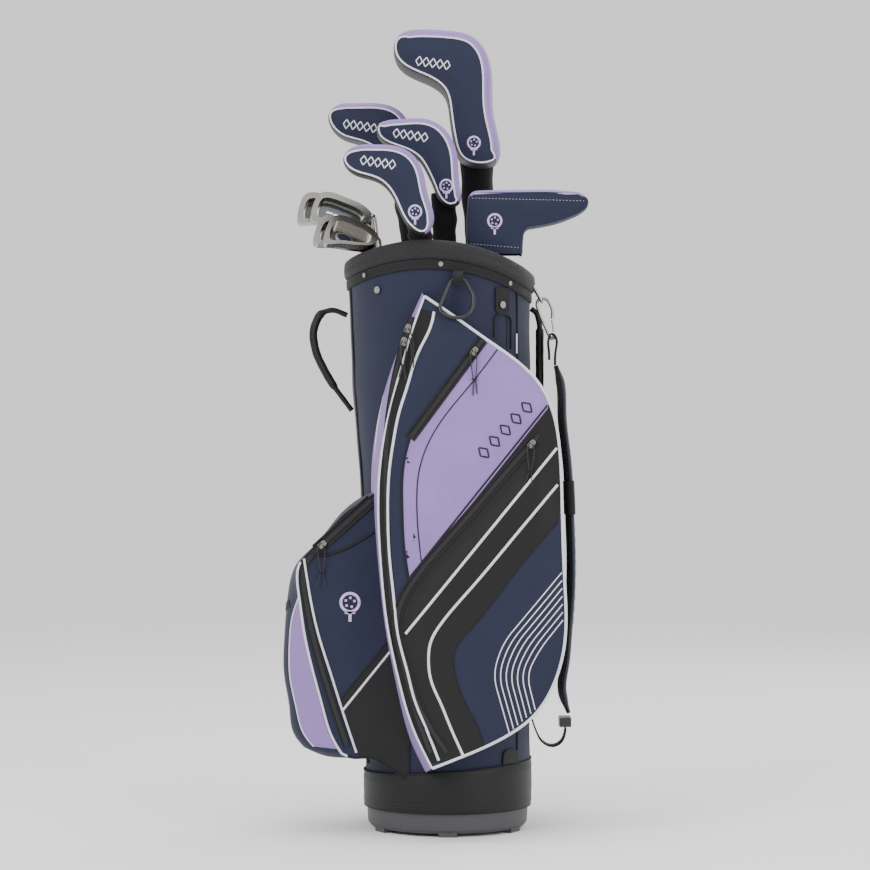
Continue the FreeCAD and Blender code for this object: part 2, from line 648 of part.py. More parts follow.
def iron_head(length, loft, stretch):
    """Cavity-back blade; toe towards -X, face towards +Y, cavity towards -Y."""
    heel_z = length - IRON_TOP_ABOVE_HEEL
    rise = math.radians(IRON_SOLE_RISE)
    tilt = math.radians(loft)
    toe_way = Vector(-math.cos(rise), 0, math.sin(rise))
    flat_down = Vector(-math.sin(rise), 0, -math.cos(rise))
    down = flat_down * math.cos(tilt) + Vector(0, -math.sin(tilt), 0)
    back = Vector(0, -math.cos(tilt), 0) - flat_down * math.sin(tilt)
    outline = [(s * stretch, t, 0) for s, t in IRON_OUTLINE]
    blade = Part.Face(closed_spline(outline)).extrude(Vector(0, 0, 20))
    slope = polygon([(0, -8, 19), (0, 70, 5.5), (0, 70, 30), (0, -8, 30)]).extrude(Vector(130, 0, 0))
    blade = blade.cut(slope)
    mid_s, mid_t = 58 * stretch, 24.5
    cavity_outline = [(mid_s + (s * stretch - mid_s) * 0.80, mid_t + (t - mid_t) * 0.66, 4)
                      for s, t in IRON_OUTLINE]
    cavity = Part.Face(closed_spline(cavity_outline)).extrude(Vector(0, 0, 30))
    blade = blade.cut(cavity)
    sole_drop = flat_down * -23.3
    blade.transformShape(frame_matrix(Vector(0, 4.5, heel_z) + sole_drop, toe_way, down, back))
    hosel = Part.makeCone(HOSEL_R, HOSEL_R + 0.6, 62, Vector(0, 0, heel_z - 40))
    tip = Part.makeSphere(HOSEL_R + 0.6, Vector(0, 0, heel_z + 22))
    return blade.fuse(hosel).fuse(tip).removeSplitter(), heel_z - 40


def wood_head(length, half_s, half_n, half_t, tilt_deg, toe_shift):
    """Hollow-bodied wood or hybrid as one closed form; toe towards -X, face towards +Y."""
    tilt = math.radians(tilt_deg)
    up_reach = math.hypot(half_s * math.sin(tilt), half_t * SOLE_FLAT * math.cos(tilt))
    middle = Vector(-half_s * toe_shift, FACE_LEAD - half_n * FACE_FLAT, length - up_reach)
    ball = Part.makeSphere(1.0)
    face_cut = Part.makeBox(2, 2, 2, Vector(-1, FACE_FLAT, -1))
    sole_cut = Part.makeBox(2.2, 2.2, 2, Vector(-1.1, -1.1, SOLE_FLAT))
    ball = ball.cut(face_cut).cut(sole_cut)
    stretch = FreeCAD.Matrix()
    stretch.scale(half_s, half_n, half_t)
    head = ball.transformGeometry(stretch)
    head.rotate(Vector(0, 0, 0), Vector(0, 1, 0), tilt_deg)
    head.translate(middle)
    hosel_low = length - 2 * up_reach - 38
    hosel_top = middle.z - up_reach * 0.2
    hosel = Part.makeCone(WOOD_HOSEL_R, WOOD_HOSEL_R + 0.4, hosel_top - hosel_low,
                          Vector(0, 0, hosel_low))
    return head.fuse(hosel), hosel_low


def putter_head(length):
    """Heel-shafted blade putter; toe towards +X, face towards -Y."""
    outline = [(-14, 3, 0), (-8, -0.5, 0), (48, -1, 0), (104, 0, 0), (113, 6, 0), (114, 17, 0),
               (108, 24, 0), (48, 24.5, 0), (-6, 24, 0), (-14, 18, 0)]
    blade = Part.Face(closed_spline(outline)).extrude(Vector(0, 0, 27))
    cavity = Part.makeBox(62, 30, 20, Vector(20, 6, 9))
    blade = blade.cut(cavity)
    rise = math.radians(PUTTER_RISE)
    toe_way = Vector(math.cos(rise), 0, math.sin(rise))
    down = Vector(math.sin(rise), 0, -math.cos(rise))
    back = toe_way.cross(down)
    origin = Vector(0, -12, length - 13)
    blade.transformShape(frame_matrix(origin, toe_way, down, back))
    neck = Part.makeCone(5.2, 6.5, 70, Vector(0, 0, length - 98))
    return blade.fuse(neck).removeSplitter(), length - 98


WOOD_FORMS = {            # half heel-to-toe, half face-to-back, half sole-to-crown, tilt, toe shift
    "driver": (56, 45.5, 30, 24, 0.60),
    "fairway_wood": (45, 28.5, 16.5, 24, 0.76),
    "hybrid_four": (39, 22.5, 14, 27, 0.76),
    "hybrid_five": (40, 23, 14.5, 24, 0.78),
}
IRON_FORMS = {            # loft, stretch along the blade
    "iron_six": (29, 1.0),
    "iron_seven": (32, 1.0),
    "iron_nine": (34, 0.98),
    "wedge": (36, 0.86),
}

# ---- headcovers --------------------------------------------------------------------

COVER_WALL = 2.2
# Side outlines (x, z), clockwise from the toe's top; then the two faces' y.
COVERS = {
    "driver_cover": dict(
        outline=[(-37, 1157), (4, 1155), (36, 1147), (56, 1126), (65, 1090), (68, 1031), (70, 964),
                 (45, 958), (20, 968), (9, 996), (3, 1036), (-5, 1066), (-25, 1082), (-52, 1094),
                 (-71, 1108), (-78, 1128), (-66, 1151)],
        faces=(-19, 85), club="driver", sock_r=(25, 19), sock_z=(980, 826)),
    "fairway_cover": dict(
        outline=[(-138, 1057), (-96, 1056), (-72, 1047), (-57, 1028), (-52, 990), (-48, 935),
                 (-62, 925), (-78, 932), (-88, 962), (-102, 984), (-128, 998), (-154, 1006),
                 (-170, 1020), (-175, 1038), (-164, 1053)],
        faces=(51, 117), club="fairway_wood", sock_r=(17, 13.5), sock_z=(945, 848)),
    "hybrid_four_cover": dict(
        outline=[(-66, 1019), (-37, 1020), (-13, 1012), (5, 992), (14, 962), (17, 925), (16, 899),
                 (4, 894), (-10, 902), (-20, 922), (-30, 944), (-42, 962), (-62, 974), (-84, 982),
                 (-99, 994), (-100, 1010), (-86, 1017)],
        faces=(-73, -17.5), club="hybrid_four", sock_r=(18, 17), sock_z=(915, 826)),
    "hybrid_five_cover": dict(
        outline=[(-106, 976), (-74, 974), (-51, 963), (-36, 940), (-28, 905), (-22, 862),
                 (-35, 850), (-52, 858), (-66, 878), (-78, 904), (-94, 922), (-114, 930),
                 (-136, 938), (-147, 953), (-136, 971)],
        faces=(-138, -77), club="hybrid_five", sock_r=(17, 16), sock_z=(866, 826)),
}
PUTTER_COVER = [(30, 916), (75, 917), (150, 918), (190, 914), (202, 904), (200, 892), (188, 883),
                (162, 872), (136, 866), (109, 862), (107, 838), (107, 822), (68, 822), (28, 833),
                (27, 866)]
PUTTER_FACES = (-70, -17.5)


def shrunk(points, inset):
    """Outline moved inwards by inset along its own normals (listed clockwise)."""
    count = len(points)
    result = []
    for i, (x, z) in enumerate(points):
        before = points[i - 1]
        after = points[(i + 1) % count]
        run = math.hypot(after[0] - before[0], after[1] - before[1])
        inward = ((after[1] - before[1]) / run, -(after[0] - before[0]) / run)
        result.append((x + inward[0] * inset, z + inward[1] * inset))
    return result


def cover_block(outline, y0, y1, inset):
    wire = closed_spline([(x, y0 + inset, z) for x, z in shrunk(outline, inset)])
    return Part.Face(wire).extrude(Vector(0, y1 - y0 - 2 * inset, 0))


def sock_cone(club, radii, heights, inset, extra):
    """Knit neck about the club's shaft between two heights."""
    _, slot_x, slot_y, butt_x, butt_y, _ = CLUBS[club]
    way = club_direction(club)
    low = Vector(butt_x, butt_y, BUTT_Z) + way * ((heights[1] - extra - BUTT_Z) / way.z)
    span = (heights[0] - heights[1] + extra) / way.z
    return Part.makeCone(radii[1] - inset, radii[0] - inset, span, low, way)


def headcover(outline, faces, club, sock_r, sock_z):
    outer = cover_block(outline, faces[0], faces[1], 0)
    outer = outer.fuse(sock_cone(club, sock_r, sock_z, 0, 0))
    inner = cover_block(outline, faces[0], faces[1], COVER_WALL)
    inner = inner.fuse(sock_cone(club, sock_r, sock_z, COVER_WALL, 5))
    return outer.cut(inner)


def putter_cover():
    outer = cover_block(PUTTER_COVER, *PUTTER_FACES, 0)
    inner = cover_block(PUTTER_COVER, *PUTTER_FACES, COVER_WALL)
    mouth = box(34, 103, PUTTER_FACES[0] + COVER_WALL + 2, PUTTER_FACES[1] - COVER_WALL - 2, 780, 850)
    return outer.cut(inner).cut(mouth)


# ---- assembly ----------------------------------------------------------------------


def make_bag(core, skirt, link):
    export("base_cup", base_cup())
    export("base_skirt", skirt)
    export("bag_tube", bag_tube(core))
    export("club_divider", club_divider())
    export("cuff_pad", cuff_pad().cut(link))
    export("cuff_band", on_tube(core, BAND_PROUD, CUFF_TALL, CUFF_TALL + BAND_TALL))
    export("support_rods", *support_rods())
    band_face = tube_solid(BAND_PROUD)
    rivets = [stud(x, rim_height(x, CUFF_TALL + BAND_TALL / 2), 3.4, 1.8, BAND_PROUD).cut(band_face)
              for x in (-118, -10, 88)]
    snaps = [stud(-99, 773, 5.0, 2.4, 0.0).cut(core), stud(77, 752, 5.0, 2.2, 2.2).cut(band_face)]
    export("cuff_rivets", *rivets, *snaps)
    snap_tab = tube_patch(core, 2.0, 66, 87, 738, 776, NEAR)
    heel_tab = tube_patch(core, 3.0, 76, 98, 101, 122, NEAR)
    export("webbing_tabs", snap_tab, heel_tab, ring_keeper())


def make_pockets(core, skirt):
    blocks = {}
    for side, name in ((NEAR, "near"), (FAR, "far")):
        block = pocket_block(side, 0)
        hollow = pocket_block(side, POCKET_WALL)
        blocks[side] = block
        export(name + "_side_pocket", block.cut(hollow).cut(core))
    ball = ball_block(0)
    hollow = ball_block(BALL_WALL)
    shell = ball.cut(hollow).cut(core)
    for block in blocks.values():
        shell = shell.cut(block)
    export("ball_pocket", shell.cut(skirt))


def make_zips():
    tall = tall_zip_line()
    near = [on_panel(NEAR, tall, ZIP_HALF, ZIP_PROUD),
            on_panel(NEAR, VALUABLES_ZIP, ZIP_HALF, ZIP_PROUD),
            on_panel(NEAR, PANEL_ZIP_STRAIGHT, ZIP_HALF, ZIP_PROUD),
            on_panel(NEAR, PANEL_ZIP_BEND, ZIP_HALF, ZIP_PROUD)]
    export("near_zip_chains", *near)
    export("far_zip_chains", on_panel(FAR, tall, ZIP_HALF, ZIP_PROUD))
    export("ball_zip_chains", ball_zip(NEAR, BALL_ZIP_SLOPE, ZIP_HALF, ZIP_PROUD),
           ball_zip(NEAR, BALL_ZIP_DOWN, ZIP_HALF, ZIP_PROUD))


def slider_on_panel(side, x, z, along):
    origin = panel_point(side, x, z, ZIP_PROUD + SLIDER_PLAY)
    outward = (0, side, PANEL_SLANT)
    run = (along[0], -side * PANEL_SLANT * along[1], along[1])
    return slider_on(origin, run, outward), origin


def make_sliders():
    pulls = []
    for node, side, degrees in TALL_ZIP_SLIDERS:
        x, z = tall_zip_point(degrees)
        angle = math.radians(degrees)
        pulls.append((node, side, x, z, (-math.sin(angle), math.cos(angle))))
    pulls.append(("near_valuables", NEAR, *VALUABLES_SLIDER_AT, (-102, -138)))
    pulls.append(("near_panel", NEAR, *PANEL_SLIDER_AT, (-178, -207)))
    for node, side, x, z, along in pulls:
        slider, origin = slider_on_panel(side, x, z, along)
        export(node + "_slider", slider)
        export(node + "_cord", pull_cord(node + "_cord", origin, side, PANEL_SLANT))
    origin = (BALL_SLIDER_AT[0], NEAR * (BALL_HALF_Y + ZIP_PROUD + SLIDER_PLAY), BALL_SLIDER_AT[1])
    export("ball_zip_slider", slider_on(origin, (-78, 0, -71), (0, NEAR, 0)))
    export("ball_zip_cord", pull_cord("ball_zip_cord", origin, NEAR, 0.0))


def strap_link():
    """Wire link from the cuff to the snap hook."""
    (top_x, top_z), (low_x, low_z) = LINK_ENDS
    left, right = STRAP_THREAD_Y - LINK_HALF, STRAP_THREAD_Y + LINK_HALF
    return closed_rod([(top_x, left, top_z), (top_x, right, top_z),
                       (low_x, right, low_z), (low_x, left, low_z)], LINK_R)


def make_hardware(core, link):
    for node, route in (("front_handle", FRONT_HANDLE), ("rear_handle", REAR_HANDLE)):
        handle, _, _ = tube_along(route, HANDLE_R)
        export(node, handle.cut(core))
    export("towel_ring", towel_ring())
    export("strap_pad", band_xz(PAD_LINE, PAD_THICK, -PAD_HALF, PAD_HALF))
    thread = STRAP_THREAD_Y
    hook, _, _ = tube_along([(x, thread, z) for x, z in HOOK_ROUTE], HOOK_WIRE_R)
    fold = band_xz(TOP_FOLD, STRAP_THICK, thread - STRAP_HALF, thread + STRAP_HALF)
    loop = band_xz(LOWER_LOOP, STRAP_THICK, -STRAP_HALF, STRAP_HALF)
    export("strap_webbing", fold.cut(hook), loop.cut(core))
    export("strap_buckle", box(*BUCKLE_OUTER).cut(box(*BUCKLE_MOUTH)))
    export("strap_link", link)
    export("snap_hook", hook)
    top = Vector(GATE_TOP[0], thread, GATE_TOP[1])
    low = Vector(GATE_LOW[0], thread, GATE_LOW[1])
    export("hook_gate", Part.makeCylinder(GATE_R, (low - top).Length, top, low - top))


def make_clubs():
    for name, (kind, _, _, _, _, length) in CLUBS.items():
        if kind == "iron":
            head, hosel_low = iron_head(length, *IRON_FORMS[name])
        elif kind == "putter":
            head, hosel_low = putter_head(length)
        else:
            head, hosel_low = wood_head(length, *WOOD_FORMS[name])
        shaft, grip = club_shaft(hosel_low)
        export(name + "_head", place_club(head, name))
        export(name + "_shaft", place_club(shaft, name), place_club(grip, name))
    for node, form in COVERS.items():
        export(node, headcover(**form))
    export("putter_cover", putter_cover())


os.makedirs("parts", exist_ok=True)
bag_core = tube_solid(0.0)
bag_skirt = base_skirt(bag_core)
cuff_link = strap_link()
make_bag(bag_core, bag_skirt, cuff_link)
make_pockets(bag_core, bag_skirt)
make_zips()
make_sliders()
make_hardware(bag_core, cuff_link)
make_clubs()
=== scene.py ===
"""Looks for a golf club set: a cart bag with nine clubs, five of them under headcovers.

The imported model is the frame. Hard parts keep their shape and get a finish; cloth,
padding, webbing, zips and pull cords are modelled here and stand for their solids.
Tables of points are in millimetres unless a comment says metres.
"""
import math

import bmesh
import bpy
import numpy as np
from bpy.props import FloatProperty, FloatVectorProperty, PointerProperty
from mathutils import Matrix, Vector
from mathutils.geometry import delaunay_2d_cdt


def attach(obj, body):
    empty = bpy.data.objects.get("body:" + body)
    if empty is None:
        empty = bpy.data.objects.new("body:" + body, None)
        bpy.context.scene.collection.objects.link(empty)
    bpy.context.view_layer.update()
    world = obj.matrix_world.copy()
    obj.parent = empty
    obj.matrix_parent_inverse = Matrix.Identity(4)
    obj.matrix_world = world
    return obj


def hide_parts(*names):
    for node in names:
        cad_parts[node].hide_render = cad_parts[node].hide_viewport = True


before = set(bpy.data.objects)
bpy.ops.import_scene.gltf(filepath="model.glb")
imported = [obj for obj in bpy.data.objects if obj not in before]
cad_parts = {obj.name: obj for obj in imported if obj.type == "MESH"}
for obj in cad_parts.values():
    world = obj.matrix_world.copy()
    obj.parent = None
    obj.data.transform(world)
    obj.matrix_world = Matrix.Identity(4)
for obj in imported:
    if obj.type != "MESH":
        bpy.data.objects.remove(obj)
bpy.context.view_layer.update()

bl_info = {
    "name": "Golf Bag Soft Goods",
    "version": (1, 0, 0),
    "blender": (4, 5, 0),
    "location": "3D View > Sidebar > Golf Bag",
    "description": "Models the cloth, padding, trims and finishes of a golf club set",
    "category": "Object",
}

MM = 0.001


# ---- colours and sizes that a user would change --------------------------------------


def linear(hex_colour):
    """Linear colour from an sRGB hex value."""
    channels = [int(hex_colour[i:i + 2], 16) / 255 for i in (1, 3, 5)]
    return tuple(c / 12.92 if c <= 0.04045 else ((c + 0.055) / 1.055) ** 2.4 for c in channels)


def colour_property(name, description, default):
    return FloatVectorProperty(name=name, description=description, subtype="COLOR", size=3,
                               min=0.0, max=1.0, default=linear(default))


class BagColours(bpy.types.PropertyGroup):
    """Colours of the set's cloth, trims and mouldings."""
    navy: colour_property("Navy", "Body cloth of the bag and headcovers", "#1a1e35")
    lavender: colour_property("Lavender", "Accent panels", "#8c71b0")
    black: colour_property("Black", "Black panels, webbing and mesh", "#0a0a0c")
    piping: colour_property("Piping", "Light piping and printed lines", "#dfdff0")
    base: colour_property("Base", "Moulded base and divider", "#3c3c3e")
    thread: colour_property("Thread", "Stitching on the black webbing", "#34343a")


class BagSizes(bpy.types.PropertyGroup):
    """Sizes of the trims and how far the cloth stands out."""
    pocket_crown: FloatProperty(name="Pocket crown", description="How far the side panel swells",
                                default=0.005, min=0.0, max=0.01, unit="LENGTH")
    piping_radius: FloatProperty(name="Piping radius", description="Radius of the thick piping",
                                 default=0.0021, min=0.001, max=0.004, unit="LENGTH")
    stitch_pitch: FloatProperty(name="Stitch pitch", description="Distance between stitches",
                                default=0.0048, min=0.002, max=0.01, unit="LENGTH")
    cover_crown: FloatProperty(name="Headcover crown", description="How far a cover's side swells",
                               default=0.0035, min=0.0, max=0.01, unit="LENGTH")


# ---- node and material helpers -------------------------------------------------------


def add_node(tree, kind, inputs=None, **settings):
    """Add one shader node; inputs maps a socket to a value or to another node's output."""
    made = tree.nodes.new(kind)
    for name, value in settings.items():
        setattr(made, name, value)
    for socket, value in (inputs or {}).items():
        if isinstance(value, bpy.types.NodeSocket):
            tree.links.new(value, made.inputs[socket])
        else:
            made.inputs[socket].default_value = value
    return made


def new_material(name):
    material = bpy.data.materials.new(name)
    material.use_nodes = True
    material.node_tree.nodes.clear()
    return material, material.node_tree


def close_material(tree, inputs, height, relief):
    """Shader and output; height raises the surface by up to relief metres."""
    bump = add_node(tree, "ShaderNodeBump", {"Height": height, "Strength": 1.0, "Distance": relief})
    shader = add_node(tree, "ShaderNodeBsdfPrincipled", dict(inputs, Normal=bump.outputs[0]))
    add_node(tree, "ShaderNodeOutputMaterial", {"Surface": shader.outputs[0]})


def bands(period):
    """Scale of a wave texture whose bands repeat every period metres."""
    return 2 * math.pi / (20 * period)


def opaque(colour, gain=1.0):
    return tuple(min(1.0, c * gain) for c in colour) + (1.0,)


def woven(name, colour, thread, relief, roughness, sheen, fleck=0.35, ribs=False):
    """Woven cloth on its own UV map: crossed threads, flecks and soft cloudy shading."""
    material, tree = new_material(name)
    flat = add_node(tree, "ShaderNodeUVMap", uv_map="cloth").outputs[0]
    warp = add_node(tree, "ShaderNodeTexWave", {"Vector": flat, "Scale": bands(thread), "Distortion": 0.5,
                                                "Detail": 1.0}, bands_direction="X").outputs["Fac"]
    weft = add_node(tree, "ShaderNodeTexWave", {"Vector": flat, "Scale": bands(thread), "Distortion": 0.5,
                                                "Detail": 1.0}, bands_direction="Y").outputs["Fac"]
    cross = add_node(tree, "ShaderNodeMath", {0: warp, 1: 1.0 if ribs else weft}, operation="MULTIPLY")
    flecks = add_node(tree, "ShaderNodeTexNoise", {"Vector": flat, "Scale": 0.6 / thread, "Detail": 2.0})
    clouds = add_node(tree, "ShaderNodeTexNoise", {"Vector": flat, "Scale": 14.0, "Detail": 3.0})
    thready = add_node(tree, "ShaderNodeMix", {0: fleck, 2: cross.outputs[0], 3: flecks.outputs["Fac"]})
    shaded = add_node(tree, "ShaderNodeMix", {0: 0.3, 2: thready.outputs[0], 3: clouds.outputs["Fac"]})
    tint = add_node(tree, "ShaderNodeMix", {0: shaded.outputs[0], 6: opaque(colour, 0.62),
                                            7: opaque(colour, 1.5)}, data_type="RGBA")
    close_material(tree, {"Base Color": tint.outputs[2], "Roughness": roughness, "Sheen Weight": sheen,
                          "Sheen Roughness": 0.5, "Specular IOR Level": 0.3}, thready.outputs[0], relief)
    return material


def solid_finish(name, low, high, metallic, roughness, grain, relief, coat=0.0, specular=0.5, stretch=(1, 1, 1)):
    """Hard finish in object space: two close tones and a fine relief of the grain's size."""
    material, tree = new_material(name)
    place = add_node(tree, "ShaderNodeTexCoord").outputs["Object"]
    drawn = add_node(tree, "ShaderNodeMapping", {"Vector": place, "Scale": stretch}).outputs[0]
    fine = add_node(tree, "ShaderNodeTexNoise", {"Vector": drawn, "Scale": 1 / grain, "Detail": 3.0})
    broad = add_node(tree, "ShaderNodeTexNoise", {"Vector": place, "Scale": 22.0, "Detail": 2.0})
    both = add_node(tree, "ShaderNodeMix", {0: 0.5, 2: fine.outputs["Fac"], 3: broad.outputs["Fac"]})
    tint = add_node(tree, "ShaderNodeMix", {0: both.outputs[0], 6: opaque(linear(low)), 7: opaque(linear(high))},
                    data_type="RGBA")
    rough = add_node(tree, "ShaderNodeMapRange", {"Value": both.outputs[0], 3: roughness * 0.8,
                                                  4: min(1.0, roughness * 1.25)})
    close_material(tree, {"Base Color": tint.outputs[2], "Roughness": rough.outputs[0], "Metallic": metallic,
                          "Coat Weight": coat, "Coat Roughness": 0.08, "Specular IOR Level": specular},
                   fine.outputs["Fac"], relief)
    return material


def make_finish(name):
    """Build one of the set's finishes from what the real material is."""
    colours = bpy.context.scene.golf_bag_colours
    if name == "navy polyester, plain woven":
        # two-tone 600-denier yarn gives a fine heathered speckle; threads drawn three times too coarse
        return woven(name, colours.navy, 0.0016, 0.00016, 0.78, 0.12)
    if name == "lavender polyester, coated":
        # a thin coating fills the weave, so it is smoother and a little brighter on the swell
        return woven(name, colours.lavender, 0.0015, 0.00007, 0.62, 0.08, fleck=0.15)
    if name == "black polyurethane cloth, embossed":
        # a soft pebbled skin with a low, wide highlight
        return woven(name, colours.black, 0.0022, 0.00009, 0.5, 0.03, fleck=0.8)
    if name == "black nylon webbing, ribbed":
        # cross ribs every 1.8 mm catch the light in rows
        return woven(name, colours.black, 0.0018, 0.00022, 0.68, 0.06, fleck=0.2, ribs=True)
    if name == "black zip tape, twill":
        return woven(name, colours.black, 0.0014, 0.00012, 0.7, 0.04)
    if name == "black rib knit":
        # vertical ribs of the stretch neck; the geometry has the folds, this has the loops
        return woven(name, colours.black, 0.0020, 0.0003, 0.9, 0.1, fleck=0.25)
    if name == "light piping, coated cord":
        return woven(name, colours.piping, 0.0012, 0.00005, 0.45, 0.0, fleck=0.2)
    if name == "black piping, folded tape":
        return woven(name, colours.black, 0.0012, 0.00008, 0.6, 0.03)
    if name == "polyester cord, braided":
        # a tight round braid; its picks show as small steps of light along the cord
        return braid_finish(name, colours.black)
    if name == "polyester thread, black stitching":
        return woven(name, colours.thread, 0.0006, 0.00005, 0.6, 0.1)
    if name == "polyester thread, light stitching":
        return woven(name, linear("#b9bccb"), 0.0006, 0.00005, 0.6, 0.1)
    if name == "lavender embroidery thread":
        return woven(name, linear("#c3aee0"), 0.0008, 0.00015, 0.5, 0.15)
    if name == "silver embroidery thread":
        return woven(name, linear("#d5d9e6"), 0.0008, 0.00015, 0.42, 0.15)
    if name == "dark printed ink":
        return woven(name, linear("#141a30"), 0.0015, 0.00004, 0.6, 0.0)
    if name == "spacer mesh, knitted":
        return mesh_finish(name, colours.black)
    if name == "ABS, fine moulded grain":
        return solid_finish(name, "#343436", "#434346", 0.0, 0.5, 0.0009, 0.00005)
    if name == "acetal, moulded":
        return solid_finish(name, "#101012", "#1d1d20", 0.0, 0.34, 0.0012, 0.00002)
    if name == "nylon zip coil":
        return solid_finish(name, "#0d0d0f", "#242428", 0.0, 0.32, 0.0008, 0.00002)
    if name == "steel wire, nickel plated":
        # dark bright plating, drawn along the wire
        return solid_finish(name, "#8f8d8b", "#b9b6b3", 1.0, 0.22, 0.0006, 0.00002)
    if name == "zinc slider, gunmetal plated":
        return solid_finish(name, "#6c6967", "#a5a09c", 1.0, 0.26, 0.0006, 0.00002)
    if name == "cast steel, satin nickel plated":
        # irons: satin grain along the blade under a bright plating
        return solid_finish(name, "#8d8984", "#c2beb8", 1.0, 0.23, 0.0009, 0.00002, stretch=(0.25, 1, 1))
    if name == "badge, dark enamel":
        return solid_finish(name, "#15181c", "#2c3540", 0.2, 0.3, 0.0011, 0.00003, coat=0.4)
    if name == "badge, bright aluminium":
        return solid_finish(name, "#a9aaab", "#dcdcdc", 1.0, 0.3, 0.0005, 0.00003, stretch=(0.2, 1, 1))
    if name == "titanium, gloss navy paint":
        return solid_finish(name, "#151d38", "#1e2747", 0.3, 0.2, 0.0004, 0.00001, coat=0.8)
    if name == "aluminium tube, drawn":
        return solid_finish(name, "#9a9a9c", "#c0c0c2", 1.0, 0.35, 0.0005, 0.00002, stretch=(1, 1, 0.1))
    if name == "graphite shaft and rubber grip":
        return shaft_finish(name)
    raise RuntimeError("no finish is named " + name)


def finish(name):
    return bpy.data.materials.get(name) or make_finish(name)


def mesh_finish(name, colour):
    """Spacer mesh: rows of open diamonds 4.4 mm apart, with painted shade in the openings and painted highlight on
    the ridges.
    """
    material, tree = new_material(name)
    flat = add_node(tree, "ShaderNodeUVMap", uv_map="cloth").outputs[0]
    turned = add_node(tree, "ShaderNodeMapping", {"Vector": flat, "Rotation": (0, 0, math.radians(45))})
    one = add_node(tree, "ShaderNodeTexWave", {"Vector": turned.outputs[0], "Scale": bands(0.0036),
                                               "Distortion": 0.3}, bands_direction="X").outputs["Fac"]
    two = add_node(tree, "ShaderNodeTexWave", {"Vector": turned.outputs[0], "Scale": bands(0.0036),
                                               "Distortion": 0.3}, bands_direction="Y").outputs["Fac"]
    net = add_node(tree, "ShaderNodeMath", {0: one, 1: two}, operation="MAXIMUM")
    # painted shade and highlight: the openings get a quarter of the colour and the ridges 2.6 times it, following
    # the net's relief
    tint = add_node(tree, "ShaderNodeMix", {0: net.outputs[0], 6: opaque(colour, 0.25), 7: opaque(colour, 2.6)},
                    data_type="RGBA")
    close_material(tree, {"Base Color": tint.outputs[2], "Roughness": 0.7, "Sheen Weight": 0.08,
                          "Specular IOR Level": 0.4}, net.outputs[0], 0.0007)
    return material


def braid_finish(name, colour):
    """Braided cord in object space: fine diagonal picks 1.1 mm apart."""
    material, tree = new_material(name)
    place = add_node(tree, "ShaderNodeTexCoord").outputs["Object"]
    picks = add_node(tree, "ShaderNodeTexWave", {"Vector": place, "Scale": bands(0.0011), "Distortion": 0.6},
                     bands_direction="DIAGONAL").outputs["Fac"]
    tint = add_node(tree, "ShaderNodeMix", {0: picks, 6: opaque(colour, 0.6), 7: opaque(colour, 2.6)},
                    data_type="RGBA")
    close_material(tree, {"Base Color": tint.outputs[2], "Roughness": 0.55, "Sheen Weight": 0.1},
                   picks, 0.0001)
    return material


def shaft_finish(name):
    """Gloss black graphite above a matt rubber grip, parted by height."""
    material, tree = new_material(name)
    place = add_node(tree, "ShaderNodeTexCoord").outputs["Object"]
    height = add_node(tree, "ShaderNodeSeparateXYZ", {0: place}).outputs["Z"]
    grip = add_node(tree, "ShaderNodeMath", {0: height, 1: 0.276}, operation="LESS_THAN").outputs[0]
    rings = add_node(tree, "ShaderNodeTexWave", {"Vector": place, "Scale": bands(0.006)}, bands_direction="Z")
    relief = add_node(tree, "ShaderNodeMath", {0: rings.outputs["Fac"], 1: grip}, operation="MULTIPLY")
    speck = add_node(tree, "ShaderNodeTexNoise", {"Vector": place, "Scale": 900.0})
    tint = add_node(tree, "ShaderNodeMix", {0: speck.outputs["Fac"], 6: opaque(linear("#121316")),
                                            7: opaque(linear("#26282d"))}, data_type="RGBA")
    rough = add_node(tree, "ShaderNodeMapRange", {"Value": grip, 3: 0.22, 4: 0.75})
    close_material(tree, {"Base Color": tint.outputs[2], "Roughness": rough.outputs[0]},
                   relief.outputs[0], 0.0004)
    return material


# ---- lines and shapes ----------------------------------------------------------------


def smooth(points, step=None, count=None, closed=False):
    """Evenly placed points along the smooth curve through a list of points."""
    points = np.array(points, float)
    if closed:
        points = np.vstack([points[-3:], points, points[:4]])
    gaps = np.linalg.norm(np.diff(points, axis=0), axis=1)
    at = np.concatenate([[0], np.cumsum(gaps)])
    total = len(points)
    system = np.eye(total)
    wanted = np.zeros_like(points)
    for i in range(1, total - 1):
        system[i, i - 1:i + 2] = gaps[i - 1], 2 * (gaps[i - 1] + gaps[i]), gaps[i]
        wanted[i] = 6 * ((points[i + 1] - points[i]) / gaps[i] - (points[i] - points[i - 1]) / gaps[i - 1])
    bend = np.linalg.solve(system, wanted)
    low, high = (at[3], at[-4]) if closed else (0.0, at[-1])
    count = count or max(2, int(round((high - low) / step)))
    where = np.linspace(low, high, count + 1)
    if closed:
        where = where[:-1]
    i = np.clip(np.searchsorted(at, where, side="right") - 1, 0, total - 2)
    width, left, right = gaps[i][:, None], (where - at[i])[:, None], (at[i + 1] - where)[:, None]
    return (bend[i] * right ** 3 / (6 * width) + bend[i + 1] * left ** 3 / (6 * width)
            + (points[i] / width - bend[i] * width / 6) * right
            + (points[i + 1] / width - bend[i + 1] * width / 6) * left)


def rounded(route, step=4.0):
    """Points along straight runs whose corners are rounded off."""
    route = [Vector(p) for p in route]
    made = [route[0]]
    for before, corner, after in zip(route, route[1:], route[2:]):
        cut = 0.45 * min((before - corner).length, (after - corner).length)
        enter = corner + (before - corner).normalized() * cut
        leave = corner + (after - corner).normalized() * cut
        for t in np.linspace(0, 1, 9):
            made.append(enter * (1 - t) ** 2 + corner * (2 * t * (1 - t)) + leave * t ** 2)
    made.append(route[-1])
    return evened(np.array(made), step)


